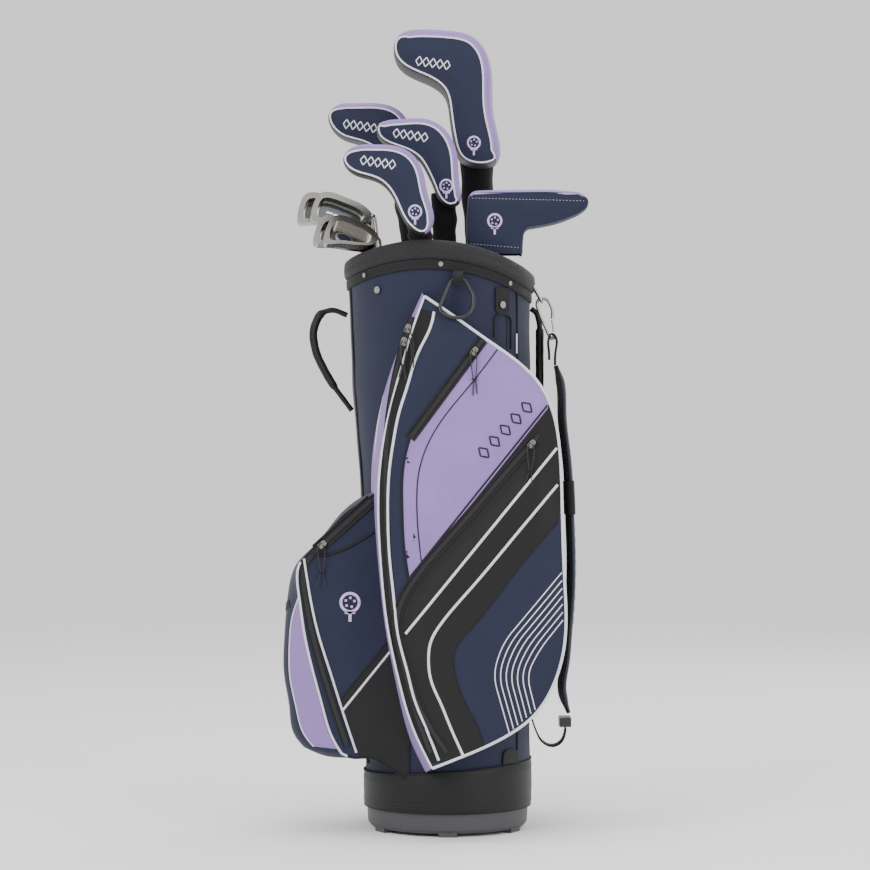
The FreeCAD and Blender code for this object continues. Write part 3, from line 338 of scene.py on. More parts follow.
def evened(line, step):
    """The same line with its points a step apart."""
    line = np.array(line, float)
    at = np.concatenate([[0], np.cumsum(np.linalg.norm(np.diff(line, axis=0), axis=1))])
    count = max(2, int(round(at[-1] / step)))
    where = np.linspace(0, at[-1], count + 1)
    return np.stack([np.interp(where, at, line[:, k]) for k in range(line.shape[1])], axis=1)


def across(line, closed=False):
    """Unit vectors square to a flat line, to its left."""
    if closed:
        run = np.roll(line, -1, axis=0) - np.roll(line, 1, axis=0)
    else:
        run = np.gradient(line, axis=0)
    run /= np.linalg.norm(run, axis=1)[:, None]
    return np.stack([-run[:, 1], run[:, 0]], axis=1)


def gap_to(points, lines):
    """Distance of each flat point from the nearest of several lines."""
    points = np.asarray(points, float)
    start = np.vstack([np.asarray(line, float)[:-1] for line in lines])
    run = np.vstack([np.diff(np.asarray(line, float), axis=0) for line in lines])
    square = np.maximum((run * run).sum(axis=1), 1e-9)
    nearest = np.empty(len(points))
    for low in range(0, len(points), 1000):
        part = points[low:low + 1000, None] - start
        t = np.clip((part * run).sum(axis=2) / square, 0, 1)
        nearest[low:low + 1000] = np.linalg.norm(part - t[..., None] * run, axis=2).min(axis=1)
    return nearest


def within(points, outline):
    """Which flat points lie inside a closed outline."""
    inside = np.zeros(len(points), bool)
    for a, b in zip(outline, np.roll(outline, -1, axis=0)):
        crosses = (a[1] > points[:, 1]) != (b[1] > points[:, 1])
        slope = (b[0] - a[0]) / (b[1] - a[1] if b[1] != a[1] else 1e-9)
        inside ^= crosses & (points[:, 0] < a[0] + slope * (points[:, 1] - a[1]))
    return inside


def ease(value):
    """Smooth step from 0 to 1."""
    value = np.clip(value, 0, 1)
    return value * value * (3 - 2 * value)


def filled(outline, step):
    """Flat points and triangles that fill a closed outline."""
    outline = np.array(outline, float)
    low, high = outline.min(axis=0), outline.max(axis=0)
    grid = np.array([(x, z) for x in np.arange(low[0] + step / 2, high[0], step)
                     for z in np.arange(low[1] + step / 2, high[1], step)]).reshape(-1, 2)
    if len(grid):
        keep = within(grid, outline) & (gap_to(grid, [np.vstack([outline, outline[:1]])]) > step * 0.4)
        grid = grid[keep]
    points = [Vector(p) for p in outline] + [Vector(p) for p in grid]
    ring = [(i, (i + 1) % len(outline)) for i in range(len(outline))]
    flat, _, faces = delaunay_2d_cdt(points, ring, [], 1, 1e-5)[:3]
    return np.array([tuple(p) for p in flat]), [tuple(f) for f in faces]


def grid_faces(rows, columns, closed=False):
    """Four-sided faces over a grid of points stored row by row."""
    faces = []
    for r in range(rows - 1):
        for c in range(columns if closed else columns - 1):
            n = (c + 1) % columns
            faces.append((r * columns + c, r * columns + n, (r + 1) * columns + n, (r + 1) * columns + c))
    return faces


def lengths(points):
    """Distance along a line of points at each point."""
    return np.concatenate([[0], np.cumsum(np.linalg.norm(np.diff(points, axis=0), axis=1))])


def sections_along(path, sides, section, closed=False):
    """Shape swept along a path; section(i, angles) gives each point's two offsets."""
    path = np.array(path, float)
    run = np.gradient(path, axis=0)
    if closed:
        run = np.roll(path, -1, axis=0) - np.roll(path, 1, axis=0)
    run /= np.linalg.norm(run, axis=1)[:, None]
    side = np.cross(run[0], (0.0, 0.0, 1.0) if abs(run[0][2]) < 0.9 else (0.0, 1.0, 0.0))
    side /= np.linalg.norm(side)
    angles = np.arange(sides) * 2 * math.pi / sides
    verts, uvs = [], []
    along = lengths(path)
    for i, (point, way) in enumerate(zip(path, run)):
        side = side - way * (side @ way)
        side /= np.linalg.norm(side)
        up = np.cross(way, side)
        a, b = section(i, angles)
        verts.append(point + np.outer(a, side) + np.outer(b, up))
        reach = max(np.abs(a).max(), np.abs(b).max())
        uvs.append(np.stack([np.full(sides, along[i]), angles * reach], axis=1))
    rows = len(path)
    faces = grid_faces(rows, sides, closed=True)
    if closed:
        last = (rows - 1) * sides
        faces += [(last + c, last + (c + 1) % sides, (c + 1) % sides, c) for c in range(sides)]
    else:
        faces += [tuple(range(sides))[::-1], tuple(range((rows - 1) * sides, rows * sides))]
    return np.vstack(verts), faces, np.vstack(uvs)


def tube(path, radius, sides=8, closed=False):
    return sections_along(path, sides, lambda i, t: (radius * np.cos(t), radius * np.sin(t)), closed)


def joined(shapes):
    """Several shapes as one."""
    verts, faces, uvs, base = [], [], [], 0
    for v, f, u in shapes:
        verts.append(v)
        uvs.append(u)
        faces += [tuple(i + base for i in face) for face in f]
        base += len(v)
    return np.vstack(verts), faces, np.vstack(uvs)


def stitches(path, out, length=3.0, radius=0.45, pitch=None):
    """A row of short thread bumps; out is one outward vector or one for each point."""
    pitch = pitch or bpy.context.scene.golf_bag_sizes.stitch_pitch / MM
    path = np.array(path, float)
    out = np.broadcast_to(np.asarray(out, float), path.shape)
    at = lengths(path)
    middles = np.arange(pitch / 2, at[-1], pitch)
    spots = np.stack([np.interp(middles, at, path[:, k]) for k in range(3)], axis=1)
    outs = np.stack([np.interp(middles, at, out[:, k]) for k in range(3)], axis=1)
    ahead = np.stack([np.interp(middles + 0.5, at, path[:, k]) for k in range(3)], axis=1)
    shapes = []
    for spot, way, up in zip(spots, ahead - spots, outs):
        way = way / np.linalg.norm(way)
        up = up / np.linalg.norm(up)
        aside = np.cross(way, up)
        half = length / 2
        verts = np.array([spot - way * half, spot + aside * radius, spot + up * radius,
                          spot - aside * radius, spot - up * radius, spot + way * half])
        faces = [(0, 1, 2), (0, 2, 3), (0, 3, 4), (0, 4, 1), (5, 2, 1), (5, 3, 2), (5, 4, 3), (5, 1, 4)]
        shapes.append((verts, faces, verts[:, :2] * 0 + (0, 0)))
    return joined(shapes)


# ---- making objects ------------------------------------------------------------------


def only(obj):
    """Select one object and make it active."""
    bpy.ops.object.select_all(action="DESELECT")
    obj.select_set(True)
    bpy.context.view_layer.objects.active = obj


def modify(obj, kind, **settings):
    """Add a modifier and apply it."""
    only(obj)
    modifier = obj.modifiers.new(kind.title(), kind)
    for name, value in settings.items():
        setattr(modifier, name, value)
    bpy.ops.object.modifier_apply(modifier=modifier.name)


def face_outwards(obj):
    """Merge doubles and turn every face outwards."""
    shape = bmesh.new()
    shape.from_mesh(obj.data)
    bmesh.ops.remove_doubles(shape, verts=shape.verts, dist=1e-6)
    bmesh.ops.recalc_face_normals(shape, faces=shape.faces)
    shape.to_mesh(obj.data)
    shape.free()


def piece(name, shape, finishes, body="bag", slot=None, replaces=(), thickness=0.0, choose=None):
    """Make an object from a shape in millimetres, finish it and tie it to the frame."""
    verts, faces, uvs = shape
    mesh = bpy.data.meshes.new(name)
    mesh.from_pydata((np.asarray(verts) * MM).tolist(), [], faces)
    layer = mesh.uv_layers.new(name="cloth")
    corners = np.zeros(len(mesh.loops), np.int32)
    mesh.loops.foreach_get("vertex_index", corners)
    layer.data.foreach_set("uv", (np.asarray(uvs)[corners] * MM).astype(np.float32).ravel())
    obj = bpy.data.objects.new(name, mesh)
    bpy.context.scene.collection.objects.link(obj)
    for made in ([finishes] if isinstance(finishes, str) else finishes):
        mesh.materials.append(finish(made))
    if choose is not None:
        for polygon in mesh.polygons:
            polygon.material_index = choose(polygon.center / MM, polygon.normal)
    if thickness:
        modify(obj, "SOLIDIFY", thickness=thickness * MM, offset=0.0, use_even_offset=False)
    face_outwards(obj)
    only(obj)
    bpy.ops.object.shade_smooth_by_angle(angle=math.radians(48))
    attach(obj, body)
    if replaces:
        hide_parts(*replaces)
    return obj


def patch(name, outline, place, finishes, step=8.0, lift=0.0, thickness=0.6, **owner):
    """A cut piece of cloth laid on a surface; place(flat points, lift) gives points in space."""
    flat, faces = filled(outline, step)
    return piece(name, (place(flat, lift), faces, flat), finishes, thickness=thickness, **owner)


def ribbon(line, half, place, lift):
    """A narrow flat band on a surface along a flat line."""
    line = np.array(line, float)
    side = across(line)
    edges = np.stack([line + side * half, line - side * half], axis=1).reshape(-1, 2)
    u = np.repeat(lengths(line), 2)
    v = np.tile([0.0, 2 * half], len(line))
    return place(edges, lift), grid_faces(len(line), 2), np.stack([u, v], axis=1)


def zip_teeth(line, place, lift, half=2.7, pitch=2.2):
    """Two rows of coil loops along a flat line on a surface."""
    line = evened(line, pitch / 2)
    side = across(line)
    run = np.stack([side[:, 1], -side[:, 0]], axis=1)
    shapes = []
    for i in range(1, len(line) - 1):
        hand = 1 if i % 2 else -1
        low, high = (-0.5, half) if hand > 0 else (-half, 0.5)
        corners = []
        for s in (low, high):
            for r in (-0.34, 0.34):
                corners.append(line[i] + side[i] * s + run[i] * r * pitch)
        corners = np.array(corners)
        verts = np.vstack([place(corners, lift - 0.5), place(corners, lift + 0.32)])
        faces = [(0, 2, 3, 1), (4, 5, 7, 6), (0, 1, 5, 4), (2, 6, 7, 3), (0, 4, 6, 2), (1, 3, 7, 5)]
        shapes.append((verts, faces, np.zeros((8, 2))))
    return joined(shapes)


def clad(finish_name, *nodes):
    """Give a CAD node its finish."""
    for node in nodes:
        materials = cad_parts[node].data.materials
        materials.clear()
        materials.append(finish(finish_name))


# ---- the bag's surfaces --------------------------------------------------------------

NEAR, FAR = -1.0, 1.0
TUBE_RIGHT = 120.0
TUBE_HEIGHTS = (38.0, 480.0, 640.0, 860.0)
TUBE_LEFTS = (-118.0, -126.0, -138.0, -147.5)
TUBE_DEPTHS = (118.0, 118.5, 119.5, 120.5)
CUFF_TALL = 27.5
BAND_TALL = 13.0
SKIRT_R = 121.0


def rim_height(x, drop=0.0):
    return 842.5 - drop - 285.0 + np.sqrt(285.0 ** 2 - (np.asarray(x) + 30.0) ** 2)


def on_tube(angle, z, lift=0.0):
    """Points on the tube's surface."""
    angle, z = np.broadcast_arrays(np.asarray(angle, float), np.asarray(z, float))
    left = np.interp(z, TUBE_HEIGHTS, TUBE_LEFTS)
    depth = np.interp(z, TUBE_HEIGHTS, TUBE_DEPTHS)
    mid, half = (TUBE_RIGHT + left) / 2, (TUBE_RIGHT - left) / 2
    return np.stack([mid + (half + lift) * np.cos(angle), (depth + lift) * np.sin(angle), z], axis=-1)


def tube_front(side):
    """Surface function for flat (x, z) points on one side of the tube."""
    def place(flat, lift):
        flat = np.asarray(flat, float)
        left = np.interp(flat[:, 1], TUBE_HEIGHTS, TUBE_LEFTS)
        mid, half = (TUBE_RIGHT + left) / 2, (TUBE_RIGHT - left) / 2
        angle = side * np.arccos(np.clip((flat[:, 0] - mid) / half, -1, 1))
        return on_tube(angle, flat[:, 1], lift)
    return place


def tube_end(middle_angle):
    """Surface function for flat (arc, z) points about one end of the tube."""
    def place(flat, lift):
        flat = np.asarray(flat, float)
        return on_tube(middle_angle + flat[:, 0] / 125.0, flat[:, 1], lift)
    return place


def top_edge(angle, drop):
    """Height of the rim, lowered by drop, above a place on the tube."""
    return rim_height(on_tube(angle, 800.0)[..., 0], drop)


def round_angles(count):
    return np.arange(count) * 2 * math.pi / count


def ring_of_sections(angles, section):
    """Closed ring; section(angle) gives one closed loop of points."""
    loops = [np.asarray(section(a), float) for a in angles]
    sides = len(loops[0])
    faces = grid_faces(len(loops), sides, closed=True)
    last = (len(loops) - 1) * sides
    faces += [(last + c, last + (c + 1) % sides, (c + 1) % sides, c) for c in range(sides)]
    uvs = [np.stack([np.full(sides, a * 125.0), lengths(loop)], axis=1) for a, loop in zip(angles, loops)]
    return np.vstack(loops), faces, np.vstack(uvs)


def build_base():
    """Base, divider and stays keep their solids; the skirt is sewn cloth with piped edges."""
    clad("ABS, fine moulded grain", "base_cup", "club_divider")
    clad("aluminium tube, drawn", "support_rods")

    def section(angle):
        top = 92.0 + 0.07 * SKIRT_R * math.cos(angle)
        swell = 0.5 * math.sin(angle * 3 + 0.6)
        profile = [(118.7, 33.4), (120.3, 33.2), (121.0, 36.0), (121.3 + swell, 44.0),
                   (121.9 + swell, 62.0), (121.5 + swell, top - 12), (121.2, top - 4),
                   (120.5, top - 0.5), (118.7, top - 1.0), (118.7, 60.0)]
        return [(r * math.cos(angle), r * math.sin(angle), z) for r, z in profile]

    angles = round_angles(96)
    piece("skirt", ring_of_sections(angles, section), "black polyurethane cloth, embossed",
          slot="black_webbing", replaces=["base_skirt"])

    def hoop(radius, rise):
        return np.array([(radius * math.cos(a), radius * math.sin(a), rise(radius * math.cos(a)))
                         for a in np.append(angles, 2 * math.pi)])

    edges = [tube(hoop(120.4, lambda x: 92.3 + 0.07 * x)[:-1], 1.7, closed=True),
             tube(hoop(119.9, lambda x: 34.2)[:-1], 1.4, closed=True)]
    piece("skirt_piping", joined(edges), "black piping, folded tape", slot="black_webbing")
    rows = []
    for drop in (7.0, 11.5):
        line = hoop(121.9, lambda x: 92.0 + 0.07 * x - drop)
        rows.append(stitches(line, line * (1, 1, 0)))
    for z in (41.0, 45.5):
        line = hoop(121.8, lambda x: z)
        rows.append(stitches(line, line * (1, 1, 0)))
    piece("skirt_stitching", joined(rows), "polyester thread, black stitching", slot="black_webbing")


def build_tube():
    """Body cloth, seams and the small straps sewn on it."""
    angles = round_angles(120)
    tops = top_edge(angles, CUFF_TALL - 2.0)
    verts, uvs = [], []
    rows = 64
    for r in range(rows):
        t = r / (rows - 1)
        z = 38.2 + (tops - 38.2) * t
        soft = 0.45 * np.sin(z / 31.0 + 2.0 * angles) + 0.3 * np.sin(z / 13.0 - 3.0 * angles)
        verts.append(on_tube(angles, z, -1.6 + soft))
        uvs.append(np.stack([angles * 125.0, z], axis=1))
    shape = (np.vstack(verts), grid_faces(rows, len(angles), closed=True), np.vstack(uvs))
    piece("body_cloth", shape, "navy polyester, plain woven", thickness=2.2, slot="navy_cloth",
          replaces=["bag_tube"])

    seams = []
    for x in (99.0, -139.0):
        for side in (NEAR, FAR):
            heights = np.linspace(96.0, 790.0, 90)
            left = np.interp(heights, TUBE_HEIGHTS, TUBE_LEFTS)
            shifted = x if x > 0 else left + 5.0
            line = np.stack([np.full(90, 1.0) * shifted, heights], axis=1)
            seams.append(tube(tube_front(side)(line, 0.3), 1.5))
    piece("body_seams", joined(seams), "black piping, folded tape", slot="black_webbing")

    near = tube_front(NEAR)
    loop = rounded([(65.4, 706), (65.4, 738.8), (89.5, 738.8), (89.5, 690)], 3.0)
    straps = [tube(near(loop, 0.9), 1.6)]
    slip = evened([(84.5, 738), (84.5, 690)], 4.0)
    piece("slip_pocket_edge", joined(straps), "black piping, folded tape", slot="black_webbing")
    piece("reflective_strip", ribbon(evened([(97.0, 712), (97.0, 684)], 3.0), 0.9, near, 1.6),
          "light piping, coated cord", slot="black_webbing", thickness=0.4)
    piece("slip_pocket_seam", ribbon(slip, 0.8, near, 0.7), "dark printed ink", slot="navy_cloth", thickness=0.3)

    tab = rounded([(66.6, 776), (66.6, 739), (86.6, 739), (86.6, 776)], 3.0)
    patch("snap_tab", tab, near, "black nylon webbing, ribbed", step=5.0, lift=1.1, thickness=1.8,
          slot="black_webbing", replaces=["webbing_tabs"])
    heel = rounded([(76.5, 101), (77.5, 117), (82, 121.6), (93, 121.6), (97.6, 118), (97.6, 101)], 3.0)
    patch("heel_tab", heel, near, "black polyurethane cloth, embossed", step=5.0, lift=1.6, thickness=2.4,
          slot="black_webbing")
    rows = [stitches(near(evened([(68.4, 774), (68.4, 741), (84.8, 741), (84.8, 774)], 2.0), 2.3), (0, -1, 0)),
            stitches(near(evened([(79, 103), (79.4, 116), (83, 119), (92.5, 119), (95.6, 116), (95.6, 103)],
                                 2.0), 3.1), (0.6, -0.8, 0))]
    keeper = [(7.6 + 13.8 * s, t) for s in (0, 1) for t in (0, 1)]
    wrap = []
    for x, _ in keeper[::2]:
        wrap += [(x, -122.5, 798.0), (x, -127.5, 797.0), (x, -132.4, 790.0), (x, -132.6, 784.5),
                 (x, -130.0, 780.6), (x, -125.0, 780.0), (x, -121.3, 782.0)]
    faces = [(i, i + 1, i + 8, i + 7) for i in range(6)]
    flat = np.array([(p[0], 6.0 * (i % 7)) for i, p in enumerate(wrap)])
    piece("ring_keeper", (np.array(wrap), faces, flat), "black nylon webbing, ribbed", thickness=1.2,
          slot="black_webbing")
    piece("tab_stitching", joined(rows), "polyester thread, black stitching", slot="black_webbing")


def build_cuff():
    """Padded mesh cuff on the rim with its webbing band."""
    mid, half_x, half_y = -11.5, 138.5, 126.0

    def section(angle):
        turns = np.arange(20) * 2 * math.pi / 20
        bow = lambda v: np.sign(v) * np.abs(v) ** 0.72
        a = 6.6 * bow(np.cos(turns)) + 0.35 * math.sin(angle * 9)
        b = 13.7 * bow(np.sin(turns))
        x = mid + (half_x - 6.5 + a) * math.cos(angle)
        y = (half_y - 6.5 + a) * math.sin(angle)
        return np.stack([x, y, rim_height(mid + (half_x - 6.5) * math.cos(angle)) - 13.75 + b], axis=1)

    cuff = piece("rim_cuff", ring_of_sections(round_angles(128), section), "spacer mesh, knitted",
                 slot="mesh_padding", replaces=["cuff_pad"])

    angles = round_angles(120)
    verts, uvs = [], []
    for t in np.linspace(0, 1, 6):
        z = top_edge(angles, CUFF_TALL + 0.4 + (BAND_TALL - 0.8) * t)
        verts.append(on_tube(angles, z, 1.2 + 0.5 * math.sin(math.pi * t)))
        uvs.append(np.stack([np.full(len(angles), BAND_TALL * t), angles * 125.0], axis=1))
    shape = (np.vstack(verts), grid_faces(6, len(angles), closed=True), np.vstack(uvs))
    piece("rim_band", shape, "black nylon webbing, ribbed", thickness=1.4, slot="black_webbing",
          replaces=["cuff_band"])
    rows, loops = [], np.append(angles, 2 * math.pi)
    for drop in (CUFF_TALL + 2.2, CUFF_TALL + BAND_TALL - 2.2):
        line = on_tube(loops, top_edge(loops, drop), 2.2)
        rows.append(stitches(line, line * (1, 1, 0)))
    piece("rim_stitching", joined(rows), "polyester thread, black stitching", slot="black_webbing")
    lip = on_tube(angles, top_edge(angles, CUFF_TALL + BAND_TALL), 0.9)
    piece("rim_piping", tube(lip, 1.2, closed=True), "black piping, folded tape", slot="black_webbing")
    clad("steel wire, nickel plated", "cuff_rivets")


# ---- side pockets --------------------------------------------------------------------

POCKET_RIGHT = [(-33, 762), (4, 737), (53, 702), (96, 671), (129, 637), (147, 598), (156, 545),
                (159, 470), (162, 370), (161, 270), (148, 224), (121, 180), (80, 149), (24, 123),
                (-22, 105)]
POCKET_LEFT = [(-22, 105), (-50, 164), (-68, 225), (-84, 300), (-93, 380), (-97, 450), (-96, 510),
               (-90, 560), (-80, 610), (-66, 660), (-50, 714), (-33, 762)]
GUSSET_LEFT = [(-44, 76), (-62, 120), (-76, 190), (-92, 290), (-102, 380), (-110, 450), (-113, 510),
               (-112, 560), (-108, 610), (-101, 660), (-86, 725), (-50, 800)]
POCKET_MIDDLE = (35.0, 430.0)
POCKET_BACK = 20.0
SEAM_BEHIND = [(-31, 787), (-40, 766), (-58, 733), (-73, 694), (-84, 657), (-90, 620), (-97, 586),
               (-101, 549), (-103, 504), (-103, 461), (-97.5, 377), (-93, 321), (-84, 264), (-73, 207),
               (-65, 165), (-50, 116), (-36, 82)]
ZIP_PIPING = [(-19.5, 740), (-23, 723), (-42, 682), (-57, 635), (-68, 600), (-76, 560), (-82, 517),
              (-84, 463), (-81, 391), (-75, 335), (-70, 291), (-56, 236), (-47, 201), (-30, 159), (-13, 116)]
VALUABLES_ZIP = [(49, 701), (-53, 563)]
PANEL_ZIP = [(128, 568), (72, 505), (16, 440), (-17, 403), (-50, 361), (-64, 336), (-71, 310),
             (-67, 275), (-58, 247), (-49, 213), (-2, 127)]
LIGHT_LINE_A = [(152, 549), (-59, 291)]
LIGHT_LINE_B = [(153, 498), (90, 423), (30, 352), (-12, 302), (-24, 280), (-27, 258), (-23, 225),
                (-11, 197), (3, 163), (21, 123)]
BLACK_EDGE = [(154, 447.5), (92, 374), (30, 296), (10, 269), (8, 247), (13, 225), (27.5, 189),
              (42, 161), (50, 137)]
LAVENDER_LEFT = [(-53, 563), (-57, 549), (-63.5, 506), (-63.6, 470), (-61, 413), (-54, 364)]
LAVENDER_LINE = [(69, 687), (34, 641), (-3, 596), (-28, 555), (-41, 513), (-43.5, 478), (-41, 427),
                 (-36, 383)]
FIRST_LINE = [(158.5, 376), (76.5, 279), (62, 235), (85, 154)]
LAST_LINE = [(160, 310), (128, 271), (109, 235), (121, 186)]
TALL_ZIP_MID, TALL_ZIP_R = (555.9, 520.0), 643.0
TALL_ZIP_REST = [(-85.5, 440), (-82, 380), (-74, 305), (-58, 228), (-40, 168), (-24, 126)]


def tall_zip_point(degrees):
    angle = math.radians(degrees)
    return (TALL_ZIP_MID[0] + TALL_ZIP_R * math.cos(angle), TALL_ZIP_MID[1] + TALL_ZIP_R * math.sin(angle))


def panel_depth(z):
    return 150.0 + (500.0 - z) * 0.06


def tall_zip_line():
    arc = [tall_zip_point(160.6 + 20.4 * i / 5) for i in range(6)]
    return smooth(arc + TALL_ZIP_REST, step=5.0)


def pocket_outline():
    return np.vstack([smooth(POCKET_RIGHT, step=6.0)[:-1], smooth(POCKET_LEFT, step=6.0)[:-1]])


def pocket_panel(side):
    """Surface function of the swelling side panel, still along its zips and edge."""
    outline = pocket_outline()
    edge = np.vstack([outline, outline[:1]])
    zips = [tall_zip_line(), np.array(VALUABLES_ZIP, float), smooth(PANEL_ZIP, step=8.0)]
    crown = bpy.context.scene.golf_bag_sizes.pocket_crown / MM

    def place(flat, lift):
        flat = np.asarray(flat, float)
        swell = crown * ease(gap_to(flat, [edge]) / 42) * ease((gap_to(flat, zips) - 10) / 34)
        ripple = 0.25 * np.sin(flat[:, 0] / 11 + flat[:, 1] / 17) * ease(swell)
        y = side * (panel_depth(flat[:, 1]) + swell + ripple + lift)
        return np.stack([flat[:, 0], y, flat[:, 1]], axis=1)
    return place


def pocket_wall(side, front, back, swell):
    """Cloth from the panel's edge back into the tube, swelling a little on the way."""
    front, back = smooth(front, count=80), smooth(back, count=80)
    steps = np.linspace(0, 1, 16)
    verts, uvs = [], []
    for f, b, along in zip(front, back, lengths(front)):
        flat = f + (b - f) * steps[:, None]
        out = flat - POCKET_MIDDLE
        out /= np.linalg.norm(out, axis=1)[:, None]
        flat = flat + out * (swell * np.sin(math.pi * steps))[:, None]
        depth = panel_depth(f[1])
        y = depth + (POCKET_BACK - depth) * steps
        verts.append(np.stack([flat[:, 0], side * y, flat[:, 1]], axis=1))
        uvs.append(np.stack([np.full(len(steps), along), depth - y], axis=1))
    return np.vstack(verts), grid_faces(len(front), len(steps)), np.vstack(uvs)


def build_side_pockets():
    """Both side pockets: panel, gussets, coloured panels, piping and printed lines."""
    thick = bpy.context.scene.golf_bag_sizes.piping_radius / MM
    outline = pocket_outline()
    edge_right = smooth(POCKET_RIGHT, step=6.0)
    edge_left = smooth(POCKET_LEFT, step=6.0)
    for side, name in ((NEAR, "near"), (FAR, "far")):
        place = pocket_panel(side)
        patch(name + "_pocket_panel", outline, place, "navy polyester, plain woven", step=9.0, thickness=1.2,
              slot="pocket_cloth", replaces=[name + "_side_pocket"])
        back_right = [GUSSET_LEFT[-1]] + POCKET_RIGHT[1:-1] + [GUSSET_LEFT[0]]
        piece(name + "_pocket_gusset", pocket_wall(side, POCKET_RIGHT, back_right, 2.5),
              "black polyurethane cloth, embossed", thickness=1.2, slot="pocket_cloth")
        piece(name + "_pocket_lavender_gusset", pocket_wall(side, POCKET_LEFT, GUSSET_LEFT, 1.0),
              "lavender polyester, coated", thickness=1.2, slot="pocket_cloth")

        upper = smooth([(141, 611), (133, 629), (117, 650), (96, 670), (70, 690), (55, 699.5)], step=6.0)
        lavender = np.vstack([smooth(LAVENDER_LEFT, step=6.0), evened([(-52, 365), (139, 604)], 6.0), upper,
                              evened([(52, 699), (-52, 564)], 6.0)[:-1]])
        patch(name + "_lavender_panel", lavender, place, "lavender polyester, coated", step=9.0, lift=0.75,
              thickness=0.5, slot="pocket_cloth")

        zip_outside = smooth([(-53, 363), (-63, 348), (-72, 333), (-79.5, 310), (-76, 275), (-67, 245),
                              (-57.5, 213), (-44, 186), (-27, 150), (-9, 112)], step=6.0)
        low_edge = smooth([(24, 124), (50, 135)], step=6.0)
        right_edge = smooth([(154.5, 449), (157.5, 498), (154, 548), (148, 590), (141, 608)], step=6.0)
        black = np.vstack([evened([(139, 604), (-52, 365)], 6.0), zip_outside, low_edge,
                           smooth(BLACK_EDGE, step=6.0)[::-1][1:], right_edge[1:-1]])
        patch(name + "_black_panel", black, place, "black polyurethane cloth, embossed", step=9.0, lift=0.7,
              thickness=0.5, slot="pocket_cloth")

        strip = np.vstack([smooth(ZIP_PIPING, step=6.0), smooth(POCKET_LEFT, step=6.0)[1:-3]])
        patch(name + "_zip_facing", strip, place, "black zip tape, twill", step=6.0, lift=0.7, thickness=0.5,
              slot="zip_coil")

        light = [tube(place(edge_right, 0.4), thick), tube(place(edge_left, 0.4), thick * 0.75),
                 tube(place(smooth(ZIP_PIPING, step=5.0), 0.9), thick * 0.95),
                 tube(place(evened(LIGHT_LINE_A, 6.0), 0.9), thick * 0.95),
                 tube(place(smooth(LIGHT_LINE_B, step=5.0), 0.9), thick * 0.95)]
        seam = smooth(SEAM_BEHIND, step=6.0)
        light.append(tube(np.stack([seam[:, 0] - 1.0, np.full(len(seam), side * 89.0), seam[:, 1]], axis=1),
                          thick * 0.8))
        piece(name + "_light_piping", joined(light), "light piping, coated cord", slot="pocket_cloth")

        thin = []
        for t in np.linspace(0, 1, 7):
            line = np.array(FIRST_LINE) * (1 - t) + np.array(LAST_LINE) * t
            thin.append(ribbon(rounded(line, 3.0), 0.75, place, 0.95))
        piece(name + "_printed_lines", joined(thin), "light piping, coated cord", slot="pocket_cloth",
              thickness=0.25)
        dark = ribbon(smooth(LAVENDER_LINE, step=4.0), 0.9, place, 1.25)
        piece(name + "_dark_line", joined([dark]), "dark printed ink", slot="pocket_cloth", thickness=0.3)
        row = lozenges(place, (50, 543), (110, 606), 5, 12.5, 1.35)
        piece(name + "_panel_lozenges", row, "dark printed ink", slot="pocket_cloth", thickness=0.3)
        seams = [tube(place(evened([(139, 609), (-52, 371)], 6.0), 1.2), 1.3),
                 tube(place(smooth(LAVENDER_LEFT, step=5.0), 1.2), 1.5),
                 tube(place(smooth(BLACK_EDGE, step=5.0), 0.9), 0.9)]
        piece(name + "_dark_piping", joined(seams), "black piping, folded tape", slot="black_webbing")


def lozenges(place, start, end, count, size, lift):
    """A row of open diamonds, a plain stand-in for lettering."""
    start, end = np.array(start, float), np.array(end, float)
    run = (end - start) / np.linalg.norm(end - start)
    side = np.array([-run[1], run[0]])
    shapes = []
    for t in np.linspace(0, 1, count):
        middle = start + (end - start) * t
        corners = [middle + run * size * 0.55, middle + side * size * 0.8, middle - run * size * 0.55,
                   middle - side * size * 0.8, middle + run * size * 0.55]
        shapes.append(ribbon(evened(corners, size * 0.2), size * 0.09, place, lift))
    return joined(shapes)


def tee_icon(place, middle, size, lift):
    """A plain golf ball on a tee, in thread."""
    middle = np.array(middle, float)
    ball = middle + (0, 0.35 * size)
    ring = [ball + size * 0.72 * np.array([math.cos(a), math.sin(a)]) for a in np.linspace(0, 2 * math.pi, 33)]
    lines = [(ring, 0.11), ([middle + (0, -0.45 * size), middle + (0, -1.15 * size)], 0.12),
             ([middle + (-0.4 * size, -0.45 * size), middle + (0.4 * size, -0.45 * size)], 0.1)]
    for a in (0.3, 1.5, 2.7, 3.9, 5.1):
        spot = ball + size * 0.36 * np.array([math.cos(a), math.sin(a)])
        lines.append(([spot - (0.09 * size, 0), spot + (0.09 * size, 0)], 0.09))
    return joined([ribbon(evened(line, size * 0.09), size * half, place, lift) for line, half in lines])


# ---- ball pocket ---------------------------------------------------------------------

